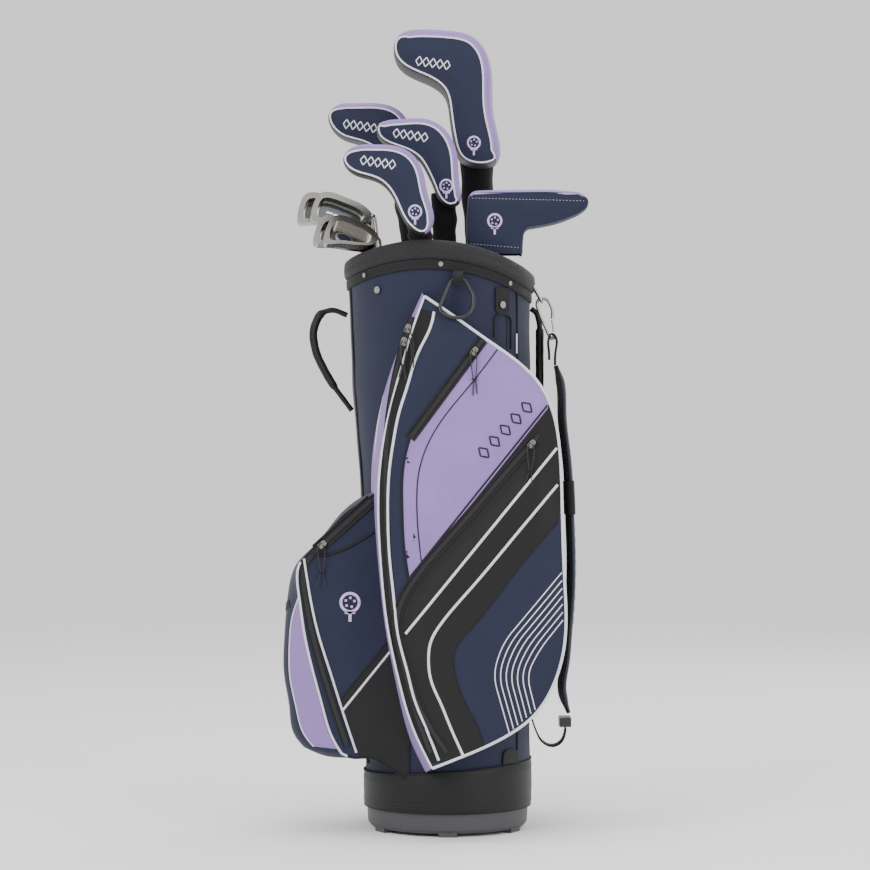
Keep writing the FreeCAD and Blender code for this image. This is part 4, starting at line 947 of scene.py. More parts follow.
BALL_HALF = 105.0
BALL_TURN = 43.0          # how far in from each side the outline reaches its full size
BALL_FULL = [(-100, 490), (-146, 462), (-190, 410), (-214, 386), (-228, 340), (-233, 280),
             (-233, 222), (-226, 180), (-219, 140), (-205, 122)]
BALL_SIDE = [(-100, 486), (-146, 455), (-188, 410), (-209, 386), (-210, 340), (-203, 290),
             (-190, 232), (-176, 180), (-163, 140), (-150, 118)]
BALL_FULL_UNDER = [(-205, 122), (-168, 109), (-130, 110), (-90, 100), (-54, 78)]
BALL_SIDE_UNDER = [(-150, 118), (-135, 112), (-115, 112), (-85, 100), (-54, 78)]
BALL_ZIP_SLOPE = [(-108, 476), (-186, 405)]
BALL_ZIP_DOWN = [(-186, 405), (-201, 385), (-202, 345), (-190, 282), (-170, 212), (-142, 128)]
BALL_PIPING = [(-203, 393), (-196, 348), (-183, 287), (-167, 236), (-149, 179), (-129, 119)]


def ball_lines():
    full = np.vstack([smooth(BALL_FULL, count=64)[:-1], smooth(BALL_FULL_UNDER, count=24)])
    side = np.vstack([smooth(BALL_SIDE, count=64)[:-1], smooth(BALL_SIDE_UNDER, count=24)])
    return full, side


def ball_band(side):
    """Surface function: (distance along the side outline, distance in from the side face)."""
    full, edge = ball_lines()
    at = lengths(edge)

    def place(flat, lift):
        flat = np.asarray(flat, float)
        turn = np.clip(flat[:, 1] / BALL_TURN, 0, 1)
        share = np.sin(turn * math.pi / 2)
        along = np.stack([np.interp(flat[:, 0], at, edge[:, k]) * (1 - share)
                          + np.interp(flat[:, 0], at, full[:, k]) * share for k in (0, 1)], axis=1)
        out = along - (-110.0, 300.0)
        out /= np.linalg.norm(out, axis=1)[:, None]
        along = along + out * (lift * turn ** 0.5)[:, None]
        y = side * (BALL_HALF - flat[:, 1] + lift * (1 - turn))
        return np.stack([along[:, 0], y, along[:, 1]], axis=1)
    return place


def ball_face(side):
    """Surface function of the flat-ish side face, still along its zips."""
    _, edge = ball_lines()
    still = [smooth(BALL_ZIP_SLOPE + BALL_ZIP_DOWN[1:], step=8.0), edge]

    def place(flat, lift):
        flat = np.asarray(flat, float)
        swell = 3.0 * ease((gap_to(flat, still) - 10) / 40)
        return np.stack([flat[:, 0], side * (BALL_HALF + swell + lift), flat[:, 1]], axis=1)
    return place


def build_ball_pocket():
    """Ball pocket: swelling front, side faces, coloured panels and piping."""
    full, edge = ball_lines()
    depths = np.array([0, 1.5, 4, 8, 13, 19, 26, 34, 43, 64, 84, 105.0])
    depths = np.concatenate([depths, 2 * BALL_HALF - depths[::-1][1:]])
    near, far = ball_band(NEAR), ball_band(FAR)
    at = lengths(edge)
    columns, uvs = [], []
    for depth in depths:
        flat = np.stack([at, np.full(len(at), min(depth, 2 * BALL_HALF - depth))], axis=1)
        columns.append((near if depth <= BALL_HALF else far)(flat, -0.3))
        uvs.append(np.stack([np.full(len(at), depth), at], axis=1))
    verts = np.stack(columns, axis=1).reshape(-1, 3)
    flat = np.stack(uvs, axis=1).reshape(-1, 2)
    piece("ball_pocket_front", (verts, grid_faces(len(at), len(depths)), flat), "navy polyester, plain woven",
          thickness=1.2, slot="pocket_cloth", replaces=["ball_pocket"])

    def along(z):
        outer = edge[:64]
        return float(np.interp(-z, -outer[:, 1], at[:64]))

    for side, name in ((NEAR, "near"), (FAR, "far")):
        place, band = ball_face(side), ball_band(side)
        outline = np.vstack([edge, [(-54, 300), (-60, 486)]])
        patch(name + "_ball_face", outline, place, "navy polyester, plain woven", step=9.0, lift=-0.4,
              thickness=1.2, slot="pocket_cloth")
        left = [(337, 2), (322, 10), (300, 18), (272, 22), (240, 24), (200, 25), (160, 23), (124, 19)]
        inner = smooth([(along(z), d) for z, d in left], step=5.0)
        right = evened([(along(124), 1.2), (along(330), 1.2)], 6.0)
        patch(name + "_ball_lavender", np.vstack([inner, right]), band, "lavender polyester, coated",
              step=7.0, lift=0.7, thickness=0.5, slot="pocket_cloth")
        low = np.vstack([evened([(-58, 312), (-84, 278), (-152, 193)], 7.0), [(-149, 181), (-130, 122)],
                         edge[70:][::1], [(-54, 200)]])
        patch(name + "_ball_black", low, place, "black polyurethane cloth, embossed", step=8.0, lift=0.5,
              thickness=0.5, slot="pocket_cloth")
        light = [tube(place(smooth(BALL_PIPING, step=5.0), 0.9), 1.7),
                 tube(place(edge[22:70], 0.2), 1.7), tube(place(evened([(-62, 286), (-149, 178)], 5.0), 0.9), 1.7),
                 tube(band(inner, 0.9), 1.1)]
        piece(name + "_ball_light_piping", joined(light), "light piping, coated cord", slot="pocket_cloth")
        dark = [tube(place(edge[66:], 0.3), 1.7), tube(place(edge[:20], 0.2), 1.3),
                tube(place(smooth([(-92, 440), (-126, 417), (-160, 401), (-184, 398), (-196, 403)], step=5.0),
                           0.6), 2.0),
                tube(place(evened([(-58, 312), (-84, 278), (-152, 193)], 5.0), 0.8), 1.0)]
        piece(name + "_ball_dark_piping", joined(dark), "black piping, folded tape", slot="black_webbing")
        piece(name + "_ball_icon", tee_icon(place, (-138, 325), 18.0, 0.5), "lavender embroidery thread",
              slot="pocket_cloth", thickness=0.4)
    hanger = [(-216, 1), (-222, 8)]
    row = evened([(along(322), 24), (along(313), 44)], 3.0)
    piece("ball_pull_tab", ribbon(row, 5.0, ball_band(NEAR), 1.0), "black nylon webbing, ribbed",
          slot="black_webbing", thickness=1.0)


def build_zips():
    """Tapes, folded edges and coils of every zip."""
    lines = {"tall": tall_zip_line(), "valuables": evened(VALUABLES_ZIP, 5.0),
             "panel": smooth(PANEL_ZIP, step=5.0)}
    for side, name in ((NEAR, "near"), (FAR, "far")):
        place = pocket_panel(side)
        tapes = [ribbon(lines["tall"], 4.8, place, 1.15), ribbon(lines["valuables"], 7.0, place, 1.2),
                 ribbon(lines["panel"], 7.0, place, 1.2)]
        piece(name + "_zip_tapes", joined(tapes), "black zip tape, twill", slot="zip_coil", thickness=0.35,
              replaces=[name + "_zip_chains"])
        teeth = [zip_teeth(line, place, 1.3) for line in lines.values()]
        piece(name + "_zip_coils", joined(teeth), "nylon zip coil", slot="zip_coil")
        folds = []
        for key, gap in (("valuables", 6.4), ("panel", 6.4)):
            line = lines[key]
            for hand in (-1, 1):
                folds.append(tube(place(line + across(line) * gap * hand, 1.3), 1.25))
        piece(name + "_zip_folds", joined(folds), "black polyurethane cloth, embossed", slot="black_webbing")
    place = ball_face(NEAR)
    slope, down = evened(BALL_ZIP_SLOPE, 5.0), smooth(BALL_ZIP_DOWN, step=5.0)
    piece("ball_zip_tapes", joined([ribbon(slope, 8.5, place, 1.0), ribbon(down, 5.6, place, 1.0)]),
          "black zip tape, twill", slot="zip_coil", thickness=0.35, replaces=["ball_zip_chains"])
    piece("ball_zip_coils", joined([zip_teeth(slope, place, 1.15), zip_teeth(down, place, 1.15)]),
          "nylon zip coil", slot="zip_coil")
    folds = [tube(place(slope + across(slope) * 7.6 * hand, 1.2), 1.4) for hand in (-1, 1)]
    piece("ball_zip_folds", joined(folds), "black polyurethane cloth, embossed", slot="black_webbing")
    clad("zinc slider, gunmetal plated", *[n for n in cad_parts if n.endswith("_slider")])


# ---- pull cords (points in metres) ---------------------------------------------------

CORD_DIAMETER = 0.0016
CORDS = {
    # node: (length, (x, z) offsets from the slider, tip to tip, the knot's offset)
    "near_zip_upper_cord": (0.1215, [
        (0.0035, -0.059), (0.005, -0.047), (0.0056, -0.037), (0.0052, -0.028), (0.0042, -0.0195),
        (0.0022, -0.0128), (-0.0006, -0.0086), (-0.0029, -0.0064), (-0.0039, -0.0034), (-0.00248, 0.0008),
        (0.00248, -0.0008), (0.0039, -0.005), (0.006, -0.011), (0.0076, -0.0185), (0.0082, -0.0275),
        (0.0079, -0.037), (0.0086, -0.046), (0.008, -0.055)], (0.00675, -0.037)),
    "near_zip_lower_cord": (0.1087, [
        (-0.007, -0.05), (-0.0046, -0.0415), (-0.0022, -0.034), (-0.0032, -0.0255), (-0.0044, -0.0165),
        (-0.0048, -0.0092), (-0.0041, -0.0036), (-0.0025, 0.00072), (0.0025, -0.00072), (0.0036, -0.005),
        (0.0036, -0.011), (0.0026, -0.0185), (0.0012, -0.026), (0.0001, -0.034), (0.0016, -0.043),
        (0.0025, -0.053)], (-0.00105, -0.034)),
    "near_valuables_cord": (0.1277, [
        (-0.002, -0.062), (-0.0022, -0.051), (-0.0013, -0.04), (-0.003, -0.031), (-0.0042, -0.022),
        (-0.005, -0.014), (-0.0054, -0.0075), (-0.0046, -0.002), (-0.00209, 0.00154), (0.00209, -0.00154),
        (0.003, -0.0068), (0.0035, -0.0135), (0.0034, -0.022), (0.0024, -0.031), (0.001, -0.04),
        (0.0032, -0.05), (0.0035, -0.06)], (-0.00015, -0.04)),
    "near_panel_cord": (0.1234, [
        (-0.01, -0.056), (-0.0064, -0.047), (-0.0036, -0.039), (-0.0046, -0.03), (-0.0058, -0.021),
        (-0.0064, -0.013), (-0.0062, -0.007), (-0.0048, -0.0017), (-0.00197, 0.0017), (0.00197, -0.0017),
        (0.003, -0.0068), (0.0034, -0.0135), (0.0024, -0.022), (0.0004, -0.0305), (-0.0013, -0.039),
        (-0.0004, -0.049), (0.0015, -0.06)], (-0.00245, -0.039)),
    "ball_zip_cord": (0.1265, [
        (-0.008, -0.06), (-0.005, -0.0495), (-0.0021, -0.04), (-0.0034, -0.0305), (-0.005, -0.021),
        (-0.0062, -0.013), (-0.0064, -0.0065), (-0.0046, -0.0006), (-0.00175, 0.00192), (0.00175, -0.00192),
        (0.003, -0.007), (0.0036, -0.014), (0.0032, -0.0225), (0.0019, -0.031), (0.0002, -0.04),
        (0.0026, -0.0495), (0.004, -0.059)], (-0.00095, -0.04)),
    "far_zip_cord": (0.1157, [
        (-0.008, -0.055), (-0.0048, -0.046), (-0.002, -0.037), (-0.0032, -0.028), (-0.0044, -0.0185),
        (-0.0049, -0.01), (-0.0041, -0.0038), (-0.00248, 0.0008), (0.00248, -0.0008), (0.0039, -0.005),
        (0.0043, -0.0115), (0.0034, -0.02), (0.0018, -0.0285), (0.0003, -0.037), (0.0026, -0.046),
        (0.0055, -0.054)], (-0.00085, -0.037)),
}
CORD_STARTS = {
    # node: (x, z of the slider, side, lean of what it hangs against)
    "near_zip_upper_cord": (*tall_zip_point(162.2), NEAR, 0.06),
    "near_zip_lower_cord": (*tall_zip_point(163.9), NEAR, 0.06),
    "far_zip_cord": (*tall_zip_point(162.2), FAR, 0.06),
    "near_valuables_cord": (37.0, 684.8, NEAR, 0.06),
    "near_panel_cord": (117.0, 555.2, NEAR, 0.06),
    "ball_zip_cord": (-177.0, 413.2, NEAR, 0.0),
}


def knot_shape(middle):
    """A lumpy overhand knot about two strands."""
    turns = np.linspace(0, 2 * math.pi, 25)[:-1]
    line = [(2.2 * math.sin(a) + 1.2 * math.sin(2 * a), 0.9 * math.cos(3 * a), 1.5 * math.cos(a) - 0.9 * math.cos(2 * a))
            for a in turns]
    return tube(np.array(line) * 1.05 + middle, 1.05, sides=8, closed=True)


def build_pull_cords():
    """Doubled braided cords through the sliders' eyes, each with a knot."""
    for node, (length, offsets, knot_at) in CORDS.items():
        x, z, side, lean = CORD_STARTS[node]
        level = BALL_HALF if lean == 0 else panel_depth(z)
        base = level + 1.65
        route = [(x * MM + dx, side * (base * MM + 0.0045 - lean * dz), z * MM + dz) for dx, dz in offsets]
        curve = bpy.data.curves.new(node + "_pull", "CURVE")
        curve.dimensions = "3D"
        spline = curve.splines.new("NURBS")
        spline.points.add(len(route) - 1)
        for point, place in zip(spline.points, route):
            point.co = (*place, 1.0)
        spline.order_u = 3
        spline.use_endpoint_u = True
        spline.resolution_u = 8
        curve.bevel_depth = CORD_DIAMETER / 2
        curve.bevel_resolution = 3
        curve.use_fill_caps = True
        curve.materials.append(finish("polyester cord, braided"))
        cord = bpy.data.objects.new(node + "_pull", curve)
        bpy.context.scene.collection.objects.link(cord)
        body = node[:-5] + "_pull"
        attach(cord, body)
        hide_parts(node)
        dx, dz = knot_at
        middle = np.array([x + dx / MM, side * (base + 4.5 - lean * dz / MM), z + dz / MM])
        knot = piece(node + "_knot", knot_shape(middle), "black piping, folded tape", body=body, slot="pull_cord")
        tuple(route[0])


# ---- handles, strap and small hardware -----------------------------------------------

FRONT_HANDLE = [(-145.5, 0, 741), (-166, 0, 750), (-185, 0, 744), (-196, 0, 718), (-191, 0, 686),
                (-170, 0, 645), (-138.5, 0, 603)]
REAR_HANDLE = [(121, 8, 751), (129, 8, 746), (134, 8, 729), (134, 8, 625), (129, 8, 608), (121, 8, 603)]
PAD_LINE = [(157, 668), (164, 640), (166, 600), (172, 540), (178, 430), (178, 330), (174, 280),
            (170, 235), (166, 200), (175, 166)]
TOP_FOLD = [(155.5, 668.5), (156.5, 690), (155, 711), (150.5, 714), (146.5, 708), (146.5, 690), (147, 676)]
LOWER_LOOP = [(171, 143), (165, 124), (153, 117.5), (138, 123), (128, 140), (121.8, 160), (121.4, 185)]
THREAD_Y = -10.0


def oval(a, b, power=1.0):
    """Section maker: an oval, squarer as power falls below 1."""
    def section(i, angles):
        bow = lambda v: np.sign(v) * np.abs(v) ** power
        return a * bow(np.cos(angles)), b * bow(np.sin(angles))
    return section


def build_handles():
    """Two carrying handles: webbing cord in a padded sleeve."""
    for node, route, sleeve in (("front_handle", FRONT_HANDLE, (0.17, 0.80)),
                                ("rear_handle", REAR_HANDLE, (0.20, 0.80))):
        line = rounded(route, 4.0)
        at = lengths(line) / lengths(line)[-1]
        low, high = sleeve

        def section(i, angles):
            cover = ease((at[i] - low) / 0.03) * ease((high - at[i]) / 0.03)
            size = 3.9 + 2.1 * cover + 0.12 * math.sin(i * 1.3)
            return size * np.cos(angles), size * np.sin(angles)

        handle = piece(node + "_sleeve", sections_along(line, 14, section), "black polyurethane cloth, embossed",
                       slot="black_webbing", replaces=[node])
        seam = [line[i] + (0, -5.9, 0) for i in range(len(line)) if low + 0.04 < at[i] < high - 0.04]
        piece(node + "_seam", joined([tube(seam, 0.55, sides=6)]), "polyester thread, black stitching",
              slot="black_webbing")


def flat_band(line, half, thick, middle, finishes, name, **owner):
    """Webbing along a line in the X-Z plane, its edges rounded."""
    line = smooth(line, step=3.5)
    path = np.stack([line[:, 0], np.full(len(line), middle), line[:, 1]], axis=1)
    run = np.gradient(path, axis=0)
    run /= np.linalg.norm(run, axis=1)[:, None]
    profile = [(-half, -0.3), (-half + 0.5, -0.5), (half - 0.5, -0.5), (half, -0.3), (half, 0.3),
               (half - 0.5, 0.5), (-half + 0.5, 0.5), (-half, 0.3)]
    verts, uvs = [], []
    for point, way, along in zip(path, run, lengths(path)):
        up = np.array([way[2], 0.0, -way[0]])
        for aside, height in profile:
            verts.append(point + np.array([0.0, 1.0, 0.0]) * aside + up * height * thick)
            uvs.append((along, aside))
    faces = grid_faces(len(path), 8, closed=True)
    faces += [tuple(range(8))[::-1], tuple(range((len(path) - 1) * 8, len(path) * 8))]
    return piece(name, (np.array(verts), faces, np.array(uvs)), finishes, **owner)


def pad_frame():
    """Points, directions and outward directions along the pad's middle line."""
    line = smooth(PAD_LINE, step=6.0)
    run = np.gradient(line, axis=0)
    run /= np.linalg.norm(run, axis=1)[:, None]
    return line, run, np.stack([-run[:, 1], run[:, 0]], axis=1)


def pad_outside(flat, lift):
    """Surface function on the pad's outer side: (distance along, Y)."""
    line, _, out = pad_frame()
    at = lengths(line)
    flat = np.asarray(flat, float)
    x = np.interp(flat[:, 0], at, line[:, 0]) + np.interp(flat[:, 0], at, out[:, 0]) * (6.0 + lift)
    z = np.interp(flat[:, 0], at, line[:, 1]) + np.interp(flat[:, 0], at, out[:, 1]) * (6.0 + lift)
    return np.stack([x, flat[:, 1], z], axis=1)


def build_strap():
    """Shoulder strap: padded band with a black inner side, its webbing, keeper and buckle."""
    line, run, out = pad_frame()
    at = lengths(line)
    count = 32
    angles = np.arange(count) * 2 * math.pi / count
    verts, uvs = [], []
    for i, (point, aside) in enumerate(zip(line, out)):
        near_end = min(at[i], at[-1] - at[i])
        width = 31.5 * (0.55 + 0.45 * ease(near_end / 55)) if at[i] > at[-1] / 2 else \
            31.5 * (0.60 + 0.40 * ease(near_end / 60))
        depth = 3.0 + 3.2 * ease(near_end / 26)
        wave = 0.5 * math.sin(at[i] / 19.0)
        for angle in angles:
            y = width * np.sign(math.cos(angle)) * abs(math.cos(angle)) ** 0.55
            h = depth * np.sign(math.sin(angle)) * abs(math.sin(angle)) ** 0.75
            h += wave * (1 - abs(y / width)) * 0.8
            verts.append((point[0] + aside[0] * h, y, point[1] + aside[1] * h))
            uvs.append((at[i], y + (40 if math.sin(angle) < 0 else 0)))
    faces = grid_faces(len(line), count, closed=True)
    last = (len(line) - 1) * count
    faces += [tuple(range(count))[::-1], tuple(range(last, last + count))]

    def sides(middle, normal):
        near = int(np.argmin((line[:, 0] - middle[0]) ** 2 + (line[:, 1] - middle[2]) ** 2))
        height = (middle[0] - line[near][0]) * out[near][0] + (middle[2] - line[near][1]) * out[near][1]
        return 0 if height > 0.4 else 1

    pad = piece("strap_padding", (np.array(verts), faces, np.array(uvs)),
                ["navy polyester, plain woven", "spacer mesh, knitted"], slot="mesh_padding",
                replaces=["strap_pad"], choose=sides)

    edges = []
    for hand in (-1, 1):
        points = []
        for i, (point, aside) in enumerate(zip(line, out)):
            near_end = min(at[i], at[-1] - at[i])
            width = 31.5 * (0.55 + 0.45 * ease(near_end / 55)) if at[i] > at[-1] / 2 else \
                31.5 * (0.60 + 0.40 * ease(near_end / 60))
            points.append((point[0] + aside[0] * 0.4, hand * (width - 0.6), point[1] + aside[1] * 0.4))
        edges.append(tube(points, 1.5))
    piece("strap_edges", joined(edges), "black piping, folded tape", slot="black_webbing")

    keeper_line = [p for p in np.array(PAD_LINE, float)]
    low, high = 447.0, 506.0
    rows = [i for i in range(len(line)) if low <= line[i][1] <= high]
    verts, uvs = [], []
    for i in rows:
        point, aside = line[i], out[i]
        for angle in angles:
            y = 33.2 * np.sign(math.cos(angle)) * abs(math.cos(angle)) ** 0.4
            h = 7.3 * np.sign(math.sin(angle)) * abs(math.sin(angle)) ** 0.6
            verts.append((point[0] + aside[0] * h, y, point[1] + aside[1] * h))
            uvs.append((at[i], angle * 20))
    piece("strap_keeper", (np.array(verts), grid_faces(len(rows), count, closed=True), np.array(uvs)),
          "black nylon webbing, ribbed", slot="black_webbing", thickness=1.0)
    outer = [lozenges(pad_outside, (at[-1] * f, -9), (at[-1] * f + 66, -9), 5, 9.0, 0.9) for f in (0.47, 0.60)]
    piece("strap_lozenges", joined(outer), "light piping, coated cord", slot="pocket_cloth", thickness=0.3)

    flat_band(TOP_FOLD, 14.0, 2.4, THREAD_Y, "black nylon webbing, ribbed", "strap_fold",
              slot="black_webbing", replaces=["strap_webbing"])
    flat_band(LOWER_LOOP, 14.0, 2.4, 0.0, "black nylon webbing, ribbed", "strap_loop", slot="black_webbing")
    clad("acetal, moulded", "strap_buckle", "towel_ring")
    clad("steel wire, nickel plated", "strap_link", "snap_hook", "hook_gate")


# ---- headcovers ----------------------------------------------------------------------

RIM_Z, BUTT_Z = 776.0, 13.0
CLUB_LINES = {   # slot (x, y) in the divider, butt (x, y) on the base
    "driver": ((48, 57.6), (66, 15)), "fairway_wood": ((-45, 88), (50, 42.5)),
    "hybrid_four": ((-3, -32), (12, -50)), "hybrid_five": ((-30, -88), (63.6, -60)),
    "iron_six": ((-110.8, 33), (19.6, 33)), "iron_seven": ((-96.5, 2), (-3, 2)),
    "iron_nine": ((-99.4, -29), (-23.3, -29)), "wedge": ((-94.4, -60), (-18, -60)),
}
COVERS = {
    "driver_cover": ("driver", [
        (-37, 1157), (4, 1155), (36, 1147), (56, 1126), (65, 1090), (68, 1031), (70, 964), (45, 958),
        (20, 968), (9, 996), (3, 1036), (-5, 1066), (-25, 1082), (-52, 1094), (-71, 1108), (-78, 1128),
        (-66, 1151)], (-19, 85), (25, 19), (980, 826), 11.0, (38, 985), (-21, 1104)),
    "fairway_cover": ("fairway_wood", [
        (-138, 1057), (-96, 1056), (-72, 1047), (-57, 1028), (-52, 990), (-48, 935), (-62, 925),
        (-78, 932), (-88, 962), (-102, 984), (-128, 998), (-154, 1006), (-170, 1020), (-175, 1038),
        (-164, 1053)], (51, 117), (17, 13.5), (945, 848), 6.0, None, (-128, 1021)),
    "hybrid_four_cover": ("hybrid_four", [
        (-66, 1019), (-37, 1020), (-13, 1012), (5, 992), (14, 962), (17, 925), (16, 899), (4, 894),
        (-10, 902), (-20, 922), (-30, 944), (-42, 962), (-62, 974), (-84, 982), (-99, 994), (-100, 1010),
        (-86, 1017)], (-73, -17.5), (18, 17), (915, 826), 6.0, (-2, 918), (-53, 994)),
    "hybrid_five_cover": ("hybrid_five", [
        (-106, 976), (-74, 974), (-51, 963), (-36, 940), (-28, 905), (-22, 862), (-35, 850), (-52, 858),
        (-66, 878), (-78, 904), (-94, 922), (-114, 930), (-136, 938), (-147, 953), (-136, 971)],
        (-138, -77), (17, 16), (866, 826), 6.0, (-46, 876), (-98, 949)),
}


def inset_line(outline, amounts):
    """Closed outline with each point moved inwards by its own amount."""
    side = across(outline, closed=True)
    x, z = outline[:, 0], outline[:, 1]
    area = np.sum(x * np.roll(z, -1) - np.roll(x, -1) * z)
    return outline + side * (amounts * (1 if area > 0 else -1))[:, None]


def build_headcovers():
    """Four wood covers with knitted necks and the putter's box-shaped one."""
    crown = bpy.context.scene.golf_bag_sizes.cover_crown / MM
    for node, (club, outline, faces_y, radii, heights, wide, icon_at, word_at) in COVERS.items():
        edge = smooth(outline, step=5.0, closed=True)
        side = across(edge, closed=True)
        x, z = edge[:, 0], edge[:, 1]
        turn = 1 if np.sum(x * np.roll(z, -1) - np.roll(x, -1) * z) > 0 else -1
        outwards = -side * turn
        bright = ease(outwards @ np.array([0.62, 0.78]) + 0.35)
        panel = inset_line(edge, 3.0 + wide * bright)
        near, far = faces_y
        middle, half = (near + far) / 2, (far - near) / 2

        rows, verts, uvs = (-1.0, -0.985, -0.93, -0.82, -0.6, -0.3, 0, 0.3, 0.6, 0.82, 0.93, 0.985, 1.0), [], []
        at = np.append(lengths(edge), 0)[:-1]
        for t in rows:
            share = math.sqrt(max(0.0, 1 - t * t)) ** 0.5
            ring = panel + (edge - panel) * share
            verts.append(np.stack([ring[:, 0], np.full(len(ring), middle + half * t), ring[:, 1]], axis=1))
            uvs.append(np.stack([at, np.full(len(ring), half * t)], axis=1))
        shape = (np.vstack(verts), grid_faces(len(rows), len(edge), closed=True), np.vstack(uvs))

        def by_side(at_point, normal, outwards=outwards, edge=edge):
            nearest = int(np.argmin(np.hypot(edge[:, 0] - at_point[0], edge[:, 1] - at_point[2])))
            return 0 if outwards[nearest] @ np.array([0.62, 0.78]) > -0.30 else 1

        band = piece(node + "_band", shape, ["lavender polyester, coated", "black polyurethane cloth, embossed"],
                     body=node, slot="pocket_cloth", replaces=[node], choose=by_side, thickness=1.0)
        for level, way, tag in ((near, -1, "near"), (far, 1, "far")):
            rim = np.vstack([panel, panel[:1]])

            def place(flat, lift, level=level, way=way, rim=rim):
                flat = np.asarray(flat, float)
                swell = crown * ease(gap_to(flat, [rim]) / 24)
                wave = 0.25 * np.sin(flat[:, 0] / 9 + flat[:, 1] / 14) * ease(gap_to(flat, [rim]) / 12)
                return np.stack([flat[:, 0], level + way * (swell * 0.8 + wave + lift - 0.6), flat[:, 1]], axis=1)

            side_piece = patch(node + "_" + tag, panel, place, "navy polyester, plain woven", step=7.0,
                               thickness=1.0, body=node, slot="navy_cloth")
            trims = tube(np.stack([panel[:, 0], np.full(len(panel), level - way * 0.6), panel[:, 1]], axis=1),
                         1.5, closed=True)
            piece(node + "_" + tag + "_piping", trims, "light piping, coated cord", body=node, slot="pocket_cloth")
            if tag == "near":
                middle_at = np.array(word_at, float)
                row = lozenges(place, middle_at - (20, -3), middle_at + (20, -3), 5, 8.5, 0.5)
                piece(node + "_lozenges", row, "silver embroidery thread", body=node, slot="pocket_cloth",
                      thickness=0.3)
            if icon_at and tag == "near":
                piece(node + "_icon", tee_icon(place, icon_at, 12.0, 0.5), "lavender embroidery thread",
                      body=node, slot="pocket_cloth", thickness=0.4)
        build_neck(node, club, radii, heights)
    build_putter_cover()


def club_point(club, z):
    slot, butt = CLUB_LINES[club]
    t = (z - BUTT_Z) / (RIM_Z - BUTT_Z)
    return np.array([butt[0] + (slot[0] - butt[0]) * t, butt[1] + (slot[1] - butt[1]) * t, z])


def build_neck(node, club, radii, heights):
    """Knitted neck round the shaft, slack enough to fold."""
    top, low = heights
    levels = np.linspace(top, low, 34)
    turns = round_angles(36)
    verts, uvs = [], []
    for i, z in enumerate(levels):
        t = i / (len(levels) - 1)
        size = radii[0] + (radii[1] - radii[0]) * t - 1.3
        fold = 1.0 * math.sin(t * 17.0 + 0.7) * math.sin(math.pi * min(1, t * 1.3)) ** 0.5
        ribs = 0.45 * np.cos(turns * 18)
        lean = 0.8 * np.sin(2 * turns + t * 5.0)
        middle = club_point(club, z)
        r = size + fold + ribs + lean * math.sin(math.pi * t)
        verts.append(middle + np.stack([r * np.cos(turns), r * np.sin(turns), 0 * turns], axis=1))
        uvs.append(np.stack([turns * size, np.full(len(turns), z)], axis=1))
    shape = (np.vstack(verts), grid_faces(len(levels), len(turns), closed=True), np.vstack(uvs))
    piece(node + "_neck", shape, "black rib knit", body=node, slot="black_webbing", thickness=1.4)


PUTTER_COVER = [(30, 916), (75, 917), (150, 918), (190, 914), (202, 904), (200, 892), (188, 883), (162, 872),
                (136, 866), (109, 862), (107, 838), (107, 822), (68, 822), (28, 833), (27, 866)]


def build_putter_cover():
    """Putter cover: a soft box open below, light stitching, a lavender strip along its top."""
    node = "putter_cover"
    raw = rounded([(60, 917)] + PUTTER_COVER[2:] + PUTTER_COVER[:1] + [(60, 917)], 4.0)[:-1]
    near, far = -70.0, -17.5
    middle, half = (near + far) / 2, (far - near) / 2
    rows, verts, uvs = (-1.0, -0.985, -0.94, -0.85, -0.6, -0.3, 0, 0.3, 0.6, 0.85, 0.94, 0.985, 1.0), [], []
    inner = inset_line(raw, np.full(len(raw), 4.0))
    for t in rows:
        share = math.sqrt(max(0.0, 1 - t * t)) ** 0.5
        ring = inner + (raw - inner) * share
        verts.append(np.stack([ring[:, 0], np.full(len(ring), middle + half * t), ring[:, 1]], axis=1))
        uvs.append(np.stack([lengths(raw), np.full(len(ring), half * t)], axis=1))
    verts, uvs = np.vstack(verts), np.vstack(uvs)
    faces = grid_faces(len(rows), len(raw), closed=True)
    keep = [f for f in faces if not (np.mean(verts[list(f), 2]) < 826.5 and 30 < np.mean(verts[list(f), 0]) < 105)]

    def by_height(at_point, normal):
        return 0 if at_point[2] > 907 and at_point[0] < 196 else 1

    body = piece(node + "_body", (verts, keep, uvs), ["lavender polyester, coated", "navy polyester, plain woven"],
                 body=node, slot="navy_cloth", replaces=[node], choose=by_height, thickness=1.2)
    for level, way, tag in ((near, -1, "near"), (far, 1, "far")):
        rim = np.vstack([inner, inner[:1]])

        def place(flat, lift, level=level, way=way, rim=rim):
            flat = np.asarray(flat, float)
            swell = 2.6 * ease(gap_to(flat, [rim]) / 20)
            return np.stack([flat[:, 0], level + way * (swell + lift - 0.6), flat[:, 1]], axis=1)

        patch(node + "_" + tag, inner, place, "navy polyester, plain woven", step=7.0, thickness=1.0, body=node,
              slot="navy_cloth")
        strip = evened([(34, 911.2), (185, 911.2)], 5.0)
        lines = [ribbon(strip, 0.8, place, 0.6)]
        if tag == "near":
            piece(node + "_icon", tee_icon(place, (67, 868), 13.0, 0.5), "lavender embroidery thread", body=node,
                  slot="pocket_cloth", thickness=0.4)
        path = place(evened([(33, 905), (197, 901)], 3.0), 0.7)
        low = place(evened([(31, 840), (104, 834)], 3.0), 0.7)
        piece(node + "_" + tag + "_stitching", joined([stitches(path, (0, way, 0)), stitches(low, (0, way, 0))]
                                                      + lines),
              "polyester thread, light stitching", body=node, slot="pocket_cloth")


# ---- clubs ---------------------------------------------------------------------------

